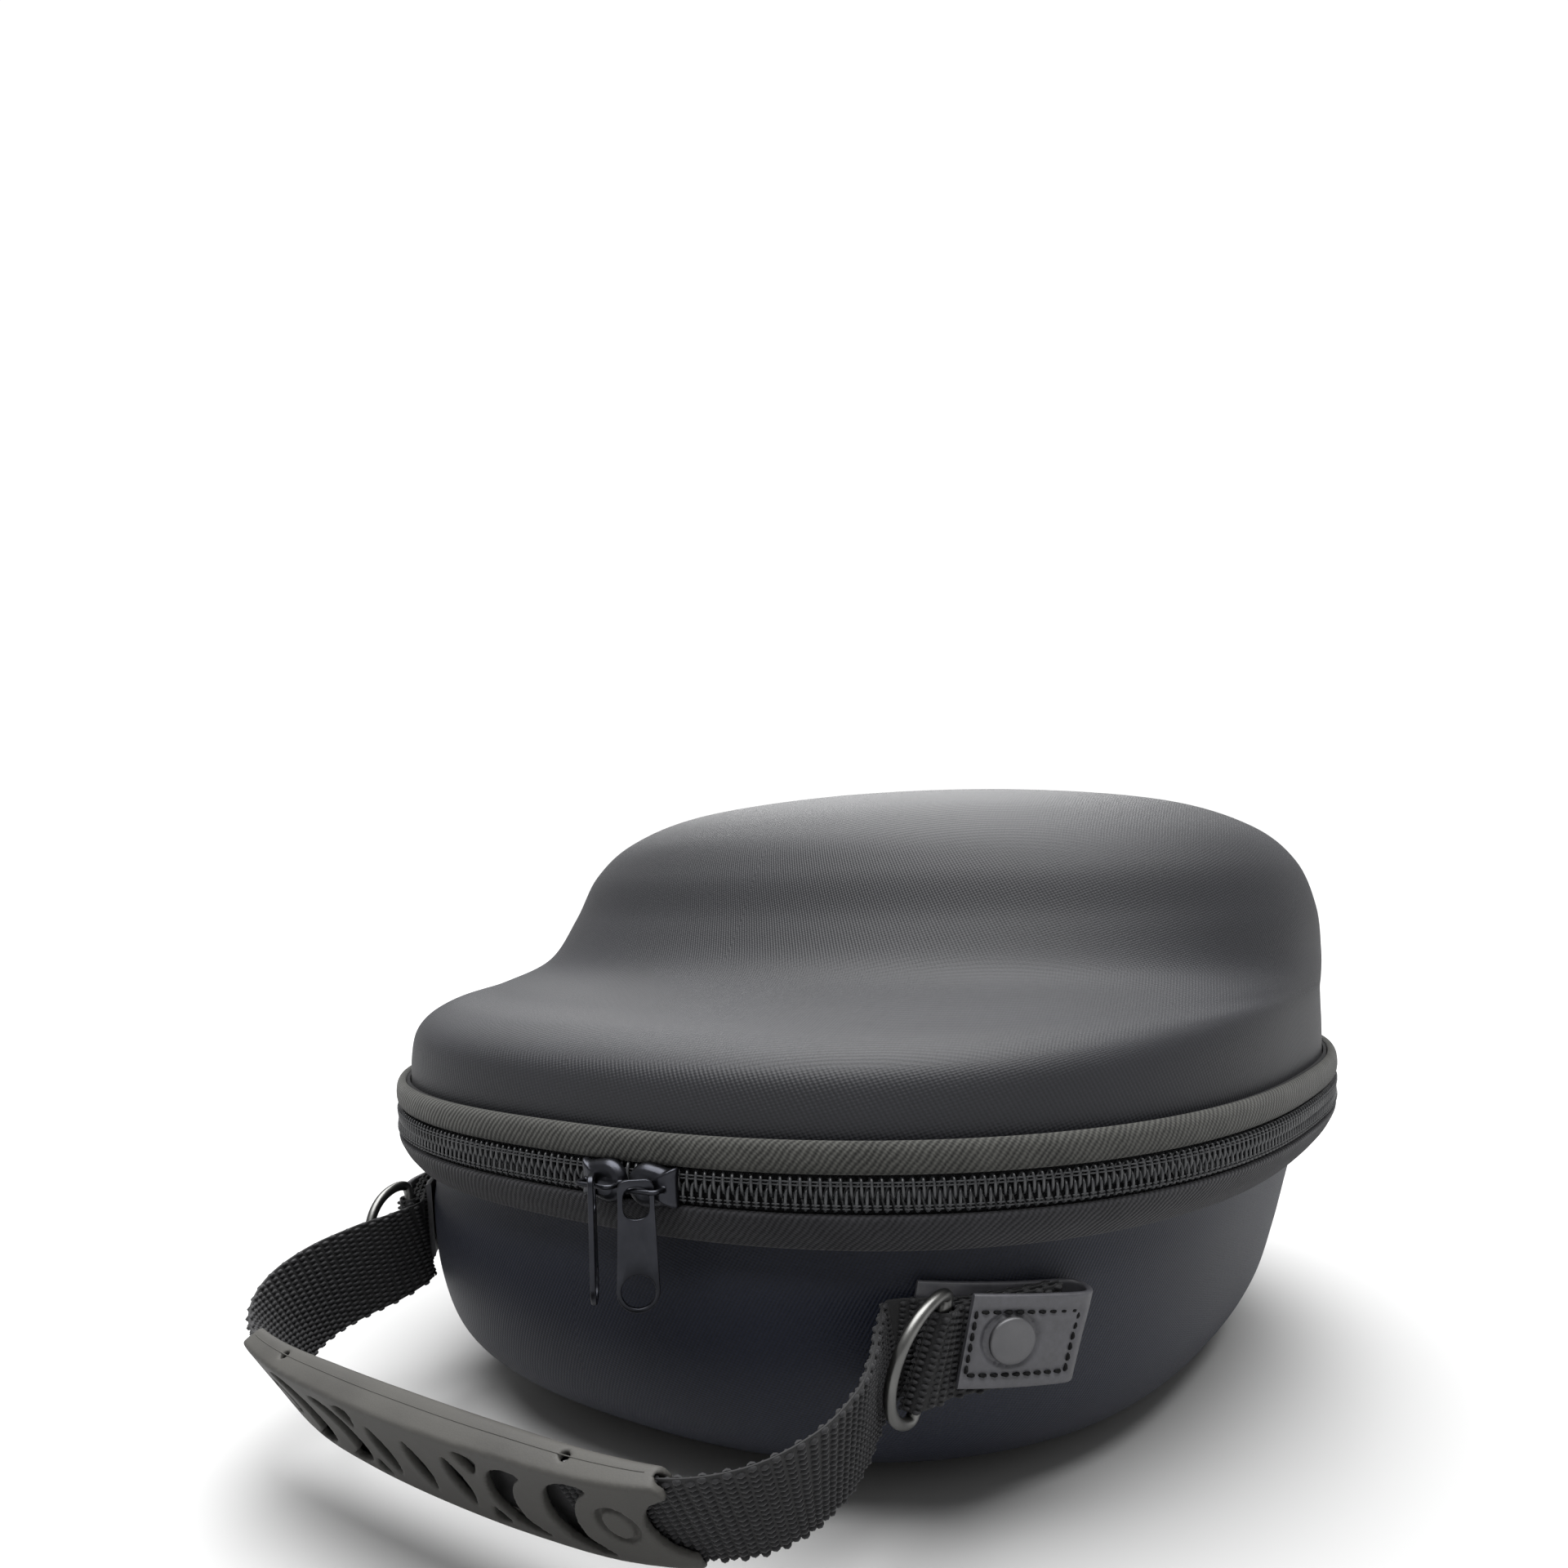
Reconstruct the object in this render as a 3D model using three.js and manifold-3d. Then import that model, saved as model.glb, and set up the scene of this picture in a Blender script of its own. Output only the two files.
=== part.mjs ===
// Cap carrier: a moulded foam case for peaked caps, closed by a zip, with a webbing handle on two riveted tabs.
// Millimetres, +Z up. The case stands on z = 0, centred on its oval plan, with its bill end towards -Y.
import * as THREE from "three";
import { mergeVertices } from "three/addons/utils/BufferGeometryUtils.js";
import Module from "manifold-3d";

const wasm = await Module();
wasm.setup();

// Case
const CASE_LENGTH = 290;
const CASE_WIDTH = 264;
const PLAN_SQUARE = 2.43; // exponent of the oval plan: 2 is an ellipse, more is squarer
const ZIP_RISE = 78.5; // the zip line above the base
const SHELL_WALL = 4;
const SEAT_GAP = 0.3; // what touching pieces keep between them
const AROUND = 48; // facets round the case
const SHELL_STEPS = { bowl: 8, lid: 11 }; // facets up each shell
const CURVE_STEPS = 4; // facets of a small curve
const WELD = 1e-4; // corners closer than this are one

// Sections of the shells, from low to high. rise is from the zip line, shift moves the oval to the back,
// reach and half are its half-length and half-width.
const BOWL_SECTIONS = [
  { rise: -ZIP_RISE, shift: -1.5, reach: 86, half: 76, square: 2.35 },
  { rise: -76.2, shift: -1.5, reach: 99, half: 92, square: 2.4 },
  { rise: -69, shift: -2, reach: 118, half: 103, square: 2.45 },
  { rise: -58, shift: -2, reach: 131, half: 110, square: 2.52 },
  { rise: -43, shift: -2, reach: 136.5, half: 114.6, square: 2.52 },
  { rise: -26, shift: -1.5, reach: 137.6, half: 118.9, square: 2.48 },
  { rise: -13, shift: -0.4, reach: 135.9, half: 122.4, square: 2.43 },
  { rise: -4.2, shift: 0, reach: 140.8, half: 127.8, square: 2.43 },
];
const LID_SECTIONS = [
  { rise: 4.2, shift: 0, reach: 141.9, half: 128.9, square: 2.43 },
  { rise: 17, shift: 0, reach: 141.6, half: 128.8, square: 2.43 },
  { rise: 25, shift: 0.7, reach: 138.9, half: 128.6, square: 2.42 },
  { rise: 29.8, shift: 4.5, reach: 132, half: 128.4, square: 2.38 },
  { rise: 33, shift: 14, reach: 121.5, half: 127.8, square: 2.3 },
  { rise: 39.5, shift: 26, reach: 110.5, half: 126.2, square: 2.25 },
  { rise: 53, shift: 32, reach: 104, half: 124, square: 2.2 },
  { rise: 67, shift: 33.5, reach: 97.5, half: 118, square: 2.2 },
  { rise: 78, shift: 33.5, reach: 87.5, half: 105.5, square: 2.15 },
  { rise: 86.5, shift: 32.5, reach: 68, half: 82, square: 2.1 },
  { rise: 91.5, shift: 32, reach: 36, half: 43, square: 2.05 },
  { rise: 92.6, shift: 32, reach: 5, half: 6, square: 2 },
];

// Rim trim as outlines of [out, rise], measured out from the oval and up from the zip line
const ZIP_END = 150; // degrees from the bill, on each side, where the zip stops
const HINGE_GAP = 0.3; // degrees between the zip's ends and the hinge strip
const UPPER_BINDING = [[-1.7, 10.9], [-0.3, 11.2], [0.8, 9.6], [1.1, 6.6], [0.6, 4.1], [-1.7, 4.1]];
const LOWER_BINDING = [[-1.2, -4.2], [0.7, -4.2], [0.6, -5.6], [-1.2, -9.2], [-4.3, -13], [-6.3, -13.4]];
const UPPER_TAPE = [[-2.8, 0.2], [-2, 0.2], [-2, 10.6], [-2.8, 10.6]];
const LOWER_TAPE = [[-2.8, -0.2], [-2, -0.2], [-2, -4.6], [-6.8, -13.2], [-7.6, -12.9], [-2.8, -4.6]];
const COIL = [[-1.6, -3.6], [0.2, -3.7], [0.8, -2.2], [0.8, 2.2], [0.2, 3.7], [-1.6, 3.6]];
const HINGE_STRIP = [
  [-1.4, -3.5], [-1.4, 3.4], [-2.05, 3.7], [-2, 10.6], [-2.8, 10.6],
  [-2.8, -4.6], [-7.6, -12.9], [-6.8, -13.2], [-2, -4.6], [-2, -4],
];

// Sliders and pulls
const SLIDERS_MEET = 9.6; // degrees from the bill where the two noses meet
const SLIDER = { length: 10.4, height: 9.6, front: 3.3, plate: 1.9, nose: 0.4 }; // nose is its gap to the middle
const SHIELD = { corner: 0.6, bulge: 0.2, rear: 0.2, shoulder: 0.3, brow: 0.75 }; // last three are shares of its half
const BAIL = { wire: 1.2, span: 9.4, stand: 3.9, bend: 1, sunk: 0.5 };
const PULL = {
  sheet: 1.2, drop: 28.5, eye: 3.9, waist: 3.9, flare: 9, foot: 4.6, hole: 3.6, slack: 0.45, rim: 1.5, round: 2.2,
};
const EYE_HOLE = { wide: 5.2, tall: 4.6, corner: 1.2 };
const PULL_TWIST = { right: 36, left: -54 }; // degrees round the vertical, as the loose pulls hang

// Handle tabs, placed on the bowl wall by arc along it to the back, height across it and lift off it
const WALL_GAP = 0.5; // under the tab, as the wall is faceted
const TAB = { angle: 43.2, rise: 46.6, tilt: 5, length: 28, tongue: 9, height: 20.5, leather: 1.4, depth: 7.8 };
const WEBBING = { width: 25, thick: 1.3, lift: 2.85, end: 6, leaves: -26, drop: 0.16 };
const TAB_FOLD_STEPS = 6;
const LOOP = { width: 21, thick: 1.1, lift: 3.9, back: 7, eye: 2, ahead: 5.6, skew: 12, drop: 0.2 };
const LOOP_BEND = { steps: 7, give: 0.3, pinch: 0.4 }; // how its upper layer turns down into the eye
const RING = { wire: 2.7, swing: 46, sides: 8 }; // swing is off the wall, degrees
const RING_BOW = [[0, 12.2], [0.8, 13.6], [2.5, 14], [5.8, 13.2], [9.6, 10.8], [12.6, 7], [14.2, 2.4]];
const RIVET = {
  arc: -4.2, height: 0.5, cap: 5.2, crown: 1.4, shank: 1.5, bore: 1.95, head: 4, plate: 1, clear: 1.3, sides: 12,
};
const RIVET_DOME = [[1, 0.4], [0.7, 0.85], [0.3, 1]]; // shares of the cap's radius and of its crown
const BORE_SIDES = 8;

// Middle line of the handle strap from the grip's middle towards the right tab, mirrored for the left
const HANDLE_ROUTE = [
  { side: 0, ahead: 180.5, rise: 27.3 },
  { side: 25, ahead: 179.9, rise: 27.3 },
  { side: 50, ahead: 177.8, rise: 27.6 },
  { side: 66.5, ahead: 174, rise: 28.9 },
  { side: 76, ahead: 168, rise: 31 },
  { side: 81.5, ahead: 160, rise: 34 },
  { side: 83, ahead: 150, rise: 37 },
  { side: 81, ahead: 140, rise: 39.5 },
  { side: 77.5, ahead: 130, rise: 42 },
];
const GRIP_LEAN = 32; // degrees that the strap's top edge leans out at the grip
const LEAN_RUN = 0.3; // share of the strap by which it has its full lean
const STRAP_LEAD = 8; // the last of its run on the wall, which its middle line follows
const STRAP_STEPS = 38;
const SEWN_STATIONS = [0, 0.4, 0.75, 0.95]; // shares of its run on the wall, from the tab's middle
const GRIP = { half: 62, wide: 14.3, thick: 4.3, tip: 2.7, round: 5, rim: 0.9, arch: 0.7, ends: 6, sides: 12 };
const GRIP_CHANNEL = { wide: 13, thick: 1.7, square: 6 };
const GRIP_STATIONS = [-1, -0.93, -0.75, -0.4, 0, 0.4, 0.75, 0.93, 1]; // where its section changes

// Openings in the grip as outlines of [along, across], each from its own middle, and where they are cut
const GRIP_LEAF = [[0, 8], [2.3, 2.8], [2.3, -2.8], [0, -8], [-2.3, -2.8], [-2.3, 2.8]];
const GRIP_CRESCENT = [
  [-3.6, -2.8], [-2.2, 4.2], [2.4, 9.4], [8.4, 9.4], [3.8, 3], [2.8, -4.4], [7.6, -10.4], [-0.6, -9],
];
const GRIP_NICK = [[-1.8, 2.6], [3.4, 2], [0.4, -3.2]];
const GRIP_SLOTS = [
  { outline: GRIP_LEAF, along: 0, across: 0, size: 1 },
  { outline: GRIP_LEAF, along: 12, across: 0, size: 1 },
  { outline: GRIP_NICK, along: 18.4, across: 8.4, size: 1 },
  { outline: GRIP_NICK, along: 18.2, across: -8.4, size: -0.8 },
  { outline: GRIP_CRESCENT, along: 24, across: 0, size: 1 },
  { outline: GRIP_CRESCENT, along: 39, across: 0.4, size: 1.08 },
];
const GRIP_BOSS = { along: 51.5, radius: 3.6, proud: 0.4, root: 1 };

const point = (x, y, z) => new THREE.Vector3(x, y, z);
const rad = THREE.MathUtils.degToRad;
const UP = point(0, 0, 1);

// Number rows blended along a Catmull-Rom spline, at t from 0 to 1
function blendRows(rows, t) {
  const at = Math.min(t, 1) * (rows.length - 1);
  const i = Math.min(Math.floor(at), rows.length - 2);
  const f = at - i;
  const pick = (k) => rows[THREE.MathUtils.clamp(k, 0, rows.length - 1)];
  const row = {};
  for (const key of Object.keys(rows[0])) {
    const [a, b, c, d] = [-1, 0, 1, 2].map((k) => pick(i + k)[key]);
    const slope = c - a;
    const turn = 2 * a - 5 * b + 4 * c - d;
    const twist = 3 * b - a - 3 * c + d;
    row[key] = b + (f * (slope + f * (turn + f * twist))) / 2;
  }
  return row;
}

// A point on the oval of a section, at an angle from the bill towards +X
function ovalPoint(section, angle) {
  const s = Math.sin(angle);
  const c = Math.cos(angle);
  const across = (Math.abs(s) / section.half) ** section.square;
  const along = (Math.abs(c) / section.reach) ** section.square;
  const r = (across + along) ** (-1 / section.square);
  return point(r * s, section.shift - r * c, ZIP_RISE + section.rise);
}

// Turns a mesh's faces round if they point inwards
function facingOut(geometry) {
  const p = geometry.getAttribute("position");
  const index = geometry.getIndex().array;
  const corner = (k) => new THREE.Vector3().fromBufferAttribute(p, index[k]);
  let volume = 0;
  for (let k = 0; k < index.length; k += 3) {
    volume += corner(k).dot(corner(k + 1).cross(corner(k + 2)));
  }
  if (volume < 0) index.reverse();
  geometry.computeVertexNormals();
  return geometry;
}

// Triangles that fill a closed ring of points, in the ring's own direction
function fillRing(ring) {
  const normal = point(0, 0, 0);
  ring.forEach((p, k) => normal.add(p.clone().cross(ring[(k + 1) % ring.length])));
  normal.normalize();
  const level = Math.abs(normal.x) < Math.abs(normal.z);
  const right = level ? point(1, 0, 0) : UP.clone();
  right.addScaledVector(normal, -right.dot(normal)).normalize();
  const top = normal.clone().cross(right);
  const flat = ring.map((p) => new THREE.Vector2(p.dot(right), p.dot(top)));
  return THREE.ShapeUtils.triangulateShape(flat, []).map(([a, b, c]) => {
    const turn = flat[b].clone().sub(flat[a]).cross(flat[c].clone().sub(flat[a]));
    return turn > 0 ? [a, b, c] : [a, c, b];
  });
}

// A closed solid through rings with equally many points: capped at both ends, or joined end to end
function loft(rings, joined = false) {
  const count = rings[0].length;
  const index = [];
  const spans = joined ? rings.length : rings.length - 1;
  for (let i = 0; i < spans; i++) {
    const here = i * count;
    const next = ((i + 1) % rings.length) * count;
    for (let j = 0; j < count; j++) {
      const k = (j + 1) % count;
      index.push(here + j, here + k, next + k, here + j, next + k, next + j);
    }
  }
  if (!joined) {
    const last = (rings.length - 1) * count;
    for (const [a, b, c] of fillRing(rings[0])) index.push(c, b, a);
    for (const [a, b, c] of fillRing(rings.at(-1))) index.push(last + a, last + b, last + c);
  }
  const geometry = new THREE.BufferGeometry();
  geometry.setAttribute("position", new THREE.Float32BufferAttribute(rings.flat().flatMap((p) => p.toArray()), 3));
  geometry.setIndex(new THREE.BufferAttribute(new Uint32Array(index), 1));
  return facingOut(geometry);
}

// Joins and cuts
function solidOf(geometry) {
  const bare = geometry.clone();
  bare.deleteAttribute("normal");
  bare.deleteAttribute("uv");
  const merged = mergeVertices(bare, WELD);
  const vertProperties = new Float32Array(merged.getAttribute("position").array);
  const triVerts = new Uint32Array(merged.getIndex().array);
  return new wasm.Manifold(new wasm.Mesh({ numProp: 3, vertProperties, triVerts }));
}

function geometryOf(solid) {
  const mesh = solid.getMesh();
  const geometry = new THREE.BufferGeometry();
  geometry.setAttribute("position", new THREE.BufferAttribute(new Float32Array(mesh.vertProperties), 3));
  geometry.setIndex(new THREE.BufferAttribute(new Uint32Array(mesh.triVerts), 1));
  geometry.computeVertexNormals();
  return geometry;
}

function cut(body, tools) {
  return geometryOf(tools.reduce((left, tool) => left.subtract(solidOf(tool)), solidOf(body)));
}

function join(body, others) {
  return geometryOf(others.reduce((whole, other) => whole.add(solidOf(other)), solidOf(body)));
}

// Rings moved along the surface normal that they share; rows run upwards and points turn towards +X first
function offsetRings(rings, distance) {
  const last = rings.length - 1;
  return rings.map((ring, i) =>
    ring.map((p, j) => {
      const around = ring[(j + 1) % ring.length].clone().sub(ring.at(j - 1));
      const upward = rings[Math.min(i + 1, last)][j].clone().sub(rings[Math.max(i - 1, 0)][j]);
      return p.clone().addScaledVector(around.cross(upward).normalize(), distance);
    }),
  );
}

// A foam shell: its outer skin, the flat edge at the rim, and the inner skin one wall inside
function shell(sections, steps, rimFirst) {
  const outer = Array.from({ length: steps + 1 }, (_, i) => {
    const section = blendRows(sections, i / steps);
    return Array.from({ length: AROUND }, (_, j) => ovalPoint(section, (j / AROUND) * 2 * Math.PI));
  });
  const inner = offsetRings(outer, -SHELL_WALL);
  const rim = rimFirst ? 0 : steps;
  inner[rim].forEach((p, j) => p.setZ(outer[rim][j].z));
  return rimFirst ? loft([...outer.reverse(), ...inner]) : loft([...outer, ...inner.reverse()]);
}

// The oval of the zip line, with its outward direction in plan
const ZIP_OVAL = { rise: 0, shift: 0, reach: CASE_LENGTH / 2, half: CASE_WIDTH / 2, square: PLAN_SQUARE };
function rimFrame(angle) {
  const step = 1e-3;
  const along = ovalPoint(ZIP_OVAL, angle + step).sub(ovalPoint(ZIP_OVAL, angle - step)).normalize();
  return { at: ovalPoint(ZIP_OVAL, angle), along, out: along.clone().cross(UP) };
}

// A strip round the rim with the given outline, between two angles or right round
function rimStrip(outline, from = 0, to = 360) {
  const whole = to - from === 360;
  const steps = Math.round(((to - from) / 360) * AROUND);
  const rings = Array.from({ length: whole ? steps : steps + 1 }, (_, i) => {
    const frame = rimFrame(rad(from + ((to - from) * i) / steps));
    return outline.map(([out, rise]) => frame.at.clone().addScaledVector(frame.out, out).addScaledVector(UP, rise));
  });
  return loft(rings, whole);
}

// The bowl wall as a surface: a point and its outward direction, at an angle and a height
const BOWL_ROWS = 140;
const BOWL_FINE = Array.from({ length: BOWL_ROWS + 1 }, (_, i) => blendRows(BOWL_SECTIONS, i / BOWL_ROWS));
function bowlPoint(angle, z) {
  const above = BOWL_FINE.findIndex((row) => ZIP_RISE + row.rise >= z);
  const [low, high] = [BOWL_FINE[above - 1], BOWL_FINE[above]];
  const f = (z - ZIP_RISE - low.rise) / (high.rise - low.rise);
  return ovalPoint(low, angle).lerp(ovalPoint(high, angle), f);
}
const WALL_STEP = 0.01;
const WALL_RADIUS =
  bowlPoint(rad(TAB.angle) + WALL_STEP, TAB.rise).distanceTo(bowlPoint(rad(TAB.angle), TAB.rise)) / WALL_STEP;

// Frame on the wall beside a tab, turned by the tab's tilt
function wallFrame(side, arc) {
  const [c, s] = [Math.cos(rad(TAB.tilt)), Math.sin(rad(TAB.tilt))];
  const angle = rad(TAB.angle) + (arc * c) / WALL_RADIUS;
  const z = TAB.rise - arc * s;
  const at = bowlPoint(angle, z);
  const level = bowlPoint(angle + WALL_STEP, z).sub(bowlPoint(angle - WALL_STEP, z)).normalize();
  const slope = bowlPoint(angle, z + 1).sub(bowlPoint(angle, z - 1)).normalize();
  const out = level.clone().cross(slope).normalize();
  const along = level.clone().multiplyScalar(c).addScaledVector(slope, -s);
  const up = out.clone().cross(along);
  for (const vector of [at, along, up, out]) vector.x *= side;
  return { at, along, up, out };
}

function wallPoint(side, arc, height, lift) {
  const frame = wallFrame(side, arc);
  return frame.at.addScaledVector(frame.up, height).addScaledVector(frame.out, lift);
}

// A piece carried straight up the wall, its outline of [arc, lift] drawn for a given height.
// A piece with a drop sinks as it comes forwards.
function wallPiece(side, outlineAt, height, drop = 0) {
  const levels = [-height / 2, height / 2];
  return loft(
    levels.map((level) => outlineAt(level).map(([arc, lift]) => wallPoint(side, arc, level + drop * arc, lift))),
  );
}

function arcPoints(centre, radius, from, to, steps) {
  return Array.from({ length: steps + 1 }, (_, i) => {
    const a = rad(from + ((to - from) * i) / steps);
    return [centre[0] + radius * Math.cos(a), centre[1] + radius * Math.sin(a)];
  });
}

const circlePoints = (centre, radius, sides) => arcPoints(centre, radius, 0, 360 - 360 / sides, sides - 1);

// Points along a straight run, so that it bends with the wall
function run(from, to, lift, parts = 3) {
  return Array.from({ length: parts }, (_, i) => [from + ((to - from) * i) / parts, lift]);
}

// Leather strip folded round at its back end, open at the top, the bottom and the front
function tabOutline() {
  const front = -TAB.length / 2;
  const tongue = front - TAB.tongue;
  const outer = TAB.depth / 2;
  const inner = outer - TAB.leather;
  const fold = -front - outer;
  const mid = WALL_GAP + outer;
  return [
    ...run(tongue, fold, mid - outer),
    ...arcPoints([fold, mid], outer, -90, 90, TAB_FOLD_STEPS),
    ...run(fold, front, mid + outer).slice(1),
    [front, mid + outer],
    ...run(front, fold, mid + inner),
    ...arcPoints([fold, mid], inner, 90, -90, TAB_FOLD_STEPS),
    ...run(fold, tongue, mid - inner).slice(1),
    [tongue, mid - inner],
  ];
}

// Webbing doubled round the ring's bar, its two ends held in the tab; the bar's lower end hangs forwards
const BAR_ARC = -TAB.length / 2 - LOOP.ahead;
const BAR_LIFT = LOOP.lift + LOOP.eye + LOOP.thick;
function loopOutline(height) {
  const skew = height * Math.tan(rad(LOOP.skew));
  const bar = [BAR_ARC + skew, BAR_LIFT];
  const outer = LOOP.eye + LOOP.thick;
  const high = LOOP.lift + 2 * LOOP.thick + SEAT_GAP;
  const bend = -TAB.length / 2 - SEAT_GAP + LOOP_BEND.give * Math.min(skew, 0);
  return [
    ...run(LOOP.back, bar[0], LOOP.lift, 4),
    ...arcPoints(bar, outer, -90, -300, LOOP_BEND.steps),
    ...run(bend, LOOP.back, high),
    [LOOP.back, high],
    ...run(LOOP.back, bend, high - LOOP.thick),
    [bend - LOOP_BEND.pinch * LOOP.thick, high - LOOP.thick],
    ...arcPoints(bar, LOOP.eye, 55, 270, LOOP_BEND.steps),
    ...run(bar[0], LOOP.back, LOOP.lift + LOOP.thick, 4).slice(1),
    [LOOP.back, LOOP.lift + LOOP.thick],
  ];
}

// D-ring: a straight bar in the loop and a bow that stands off ahead of it
function ringGeometry(side) {
  const frame = wallFrame(side, BAR_ARC);
  const bar = wallPoint(side, BAR_ARC, LOOP.drop * BAR_ARC, BAR_LIFT);
  const skew = Math.tan(rad(LOOP.skew));
  const up = frame.up.clone().multiplyScalar(1 + LOOP.drop * skew).addScaledVector(frame.along, skew).normalize();
  const swing = rad(RING.swing);
  const ahead = frame.out.clone().multiplyScalar(Math.sin(swing)).addScaledVector(frame.along, -Math.cos(swing));
  ahead.addScaledVector(up, -ahead.dot(up)).normalize();
  const across = ahead.clone().cross(up);
  const lower = RING_BOW.map(([out, rise]) => [out, -rise]).reverse();
  const path = [...RING_BOW, ...lower];
  const rings = path.map(([out, rise], k) => {
    const [before, after] = [path.at(k - 1), path[(k + 1) % path.length]];
    const turn = new THREE.Vector2(after[0] - before[0], after[1] - before[1]).normalize();
    const at = bar.clone().addScaledVector(ahead, out).addScaledVector(up, rise);
    return circlePoints([0, 0], RING.wire / 2, RING.sides).map(([a, b]) =>
      at.clone().addScaledVector(ahead, a * turn.y).addScaledVector(up, -a * turn.x).addScaledVector(across, b),
    );
  });
  return loft(rings, true);
}

// Turned pieces on a rivet's axis, as [radius, lift] from the inside of the bowl outwards
function turnedOnRivet(side, profile, sides = RIVET.sides) {
  const frame = wallFrame(side, RIVET.arc);
  const centre = frame.at.addScaledVector(frame.up, RIVET.height);
  return loft(
    profile.map(([radius, lift]) =>
      circlePoints([0, 0], radius, sides).map(([a, b]) =>
        centre.clone().addScaledVector(frame.out, lift).addScaledVector(frame.along, a).addScaledVector(frame.up, b),
      ),
    ),
  );
}

function rivetGeometry(side) {
  const { cap, crown, shank, head, plate, clear } = RIVET;
  const inside = -SHELL_WALL - clear;
  const seat = WALL_GAP + TAB.depth + SEAT_GAP;
  return turnedOnRivet(side, [
    [head, inside - plate],
    [head, inside],
    [shank, inside],
    [shank, seat],
    [cap, seat],
    ...RIVET_DOME.map(([part, rise]) => [part * cap, seat + rise * crown]),
  ]);
}

// A bore through the wall and all that the tab holds
const rivetHole = (side) =>
  turnedOnRivet(side, [[RIVET.bore, -3 * SHELL_WALL], [RIVET.bore, 3 * TAB.depth]], BORE_SIDES);

// The strap's run on the wall under a tab, dropping a little as it comes forwards
function strapOnWall(side, arc, wide, thick) {
  return wallPoint(side, arc, wide + WEBBING.drop * arc, WEBBING.lift + thick);
}

// The handle's middle line, from one tab's front through the grip to the other
function handleCurve() {
  const right = HANDLE_ROUTE.map(({ side, ahead, rise }) => point(side, -ahead, rise));
  for (const arc of [0, STRAP_LEAD]) right.push(strapOnWall(1, WEBBING.leaves + arc, 0, 0));
  const left = right.slice(1).reverse().map((p) => point(-p.x, p.y, p.z));
  return new THREE.CatmullRomCurve3([...left, ...right], false, "centripetal");
}
const HANDLE = handleCurve();
const HANDLE_LENGTH = HANDLE.getLength();
const FREE_END = STRAP_LEAD / HANDLE_LENGTH;

// How far the strap's top edge leans out at the tabs, in radians
function tabLean() {
  const { up, along } = wallFrame(1, WEBBING.leaves);
  return Math.asin(up.dot(along.clone().setZ(0).normalize().cross(UP)));
}
const TAB_LEAN = tabLean();

// Frame along the handle at u from 0 to 1: the strap leans out more and more towards the grip
function handleFrame(u) {
  const at = HANDLE.getPointAt(u);
  const along = HANDLE.getTangentAt(u);
  const out = point(along.x, along.y, 0).normalize().cross(UP);
  const near = THREE.MathUtils.smoothstep(Math.min(u, 1 - u), FREE_END, LEAN_RUN);
  const lean = THREE.MathUtils.lerp(TAB_LEAN, rad(GRIP_LEAN), near);
  const wide = UP.clone().multiplyScalar(Math.cos(lean)).addScaledVector(out, Math.sin(lean));
  wide.addScaledVector(along, -wide.dot(along)).normalize();
  return { at, along, wide, thick: along.clone().cross(wide).normalize() };
}

const handlePoint = (u, wide, thick) => {
  const frame = handleFrame(u);
  return frame.at.addScaledVector(frame.wide, wide).addScaledVector(frame.thick, thick);
};

function strapGeometry() {
  const [w, t] = [WEBBING.width / 2, WEBBING.thick / 2];
  const section = [[-w, -t], [w, -t], [w, t], [-w, t]];
  const sewn = (side) =>
    [WEBBING.end, ...SEWN_STATIONS.map((part) => part * WEBBING.leaves)].map((arc) =>
      section.map(([wide, thick]) => strapOnWall(side, arc, wide, thick)),
    );
  const free = Array.from({ length: STRAP_STEPS + 1 }, (_, i) => {
    const u = FREE_END + ((1 - 2 * FREE_END) * i) / STRAP_STEPS;
    return section.map(([wide, thick]) => handlePoint(u, wide, thick));
  });
  const rings = [...sewn(-1), ...free, ...sewn(1).reverse()];
  return cut(loft(rings), [rivetHole(1), rivetHole(-1)]);
}

// Grip: an arched sleeve, thinner at its ends, with a channel for the webbing
const gripAt = (along) => 0.5 + along / HANDLE_LENGTH;
function gripRing(along, wide, thick, square) {
  return Array.from({ length: GRIP.sides }, (_, k) => {
    const a = ((k + 0.5) / GRIP.sides) * 2 * Math.PI;
    const [c, s] = [Math.cos(a), Math.sin(a)];
    const across = Math.sign(c) * Math.abs(c) ** (2 / square) * wide;
    return handlePoint(gripAt(along), across, Math.sign(s) * Math.abs(s) ** (2 / square) * thick);
  });
}

// A slot through the grip, or its twin on the other side of the grip's middle
function gripSlot({ outline, along, across, size }, end) {
  const ring = outline.map(([a, b]) => [end * (along + Math.abs(size) * a), across + size * b]);
  const through = 2 * GRIP.thick;
  return loft([-through, through].map((thick) => ring.map(([a, wide]) => handlePoint(gripAt(a), wide, thick))));
}

// Half thickness of the grip, from its middle to its thin ends
const gripFace = (along) =>
  GRIP.tip + (GRIP.thick - GRIP.tip) * Math.cos((along / GRIP.half) * (Math.PI / 2)) ** GRIP.arch;

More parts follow.
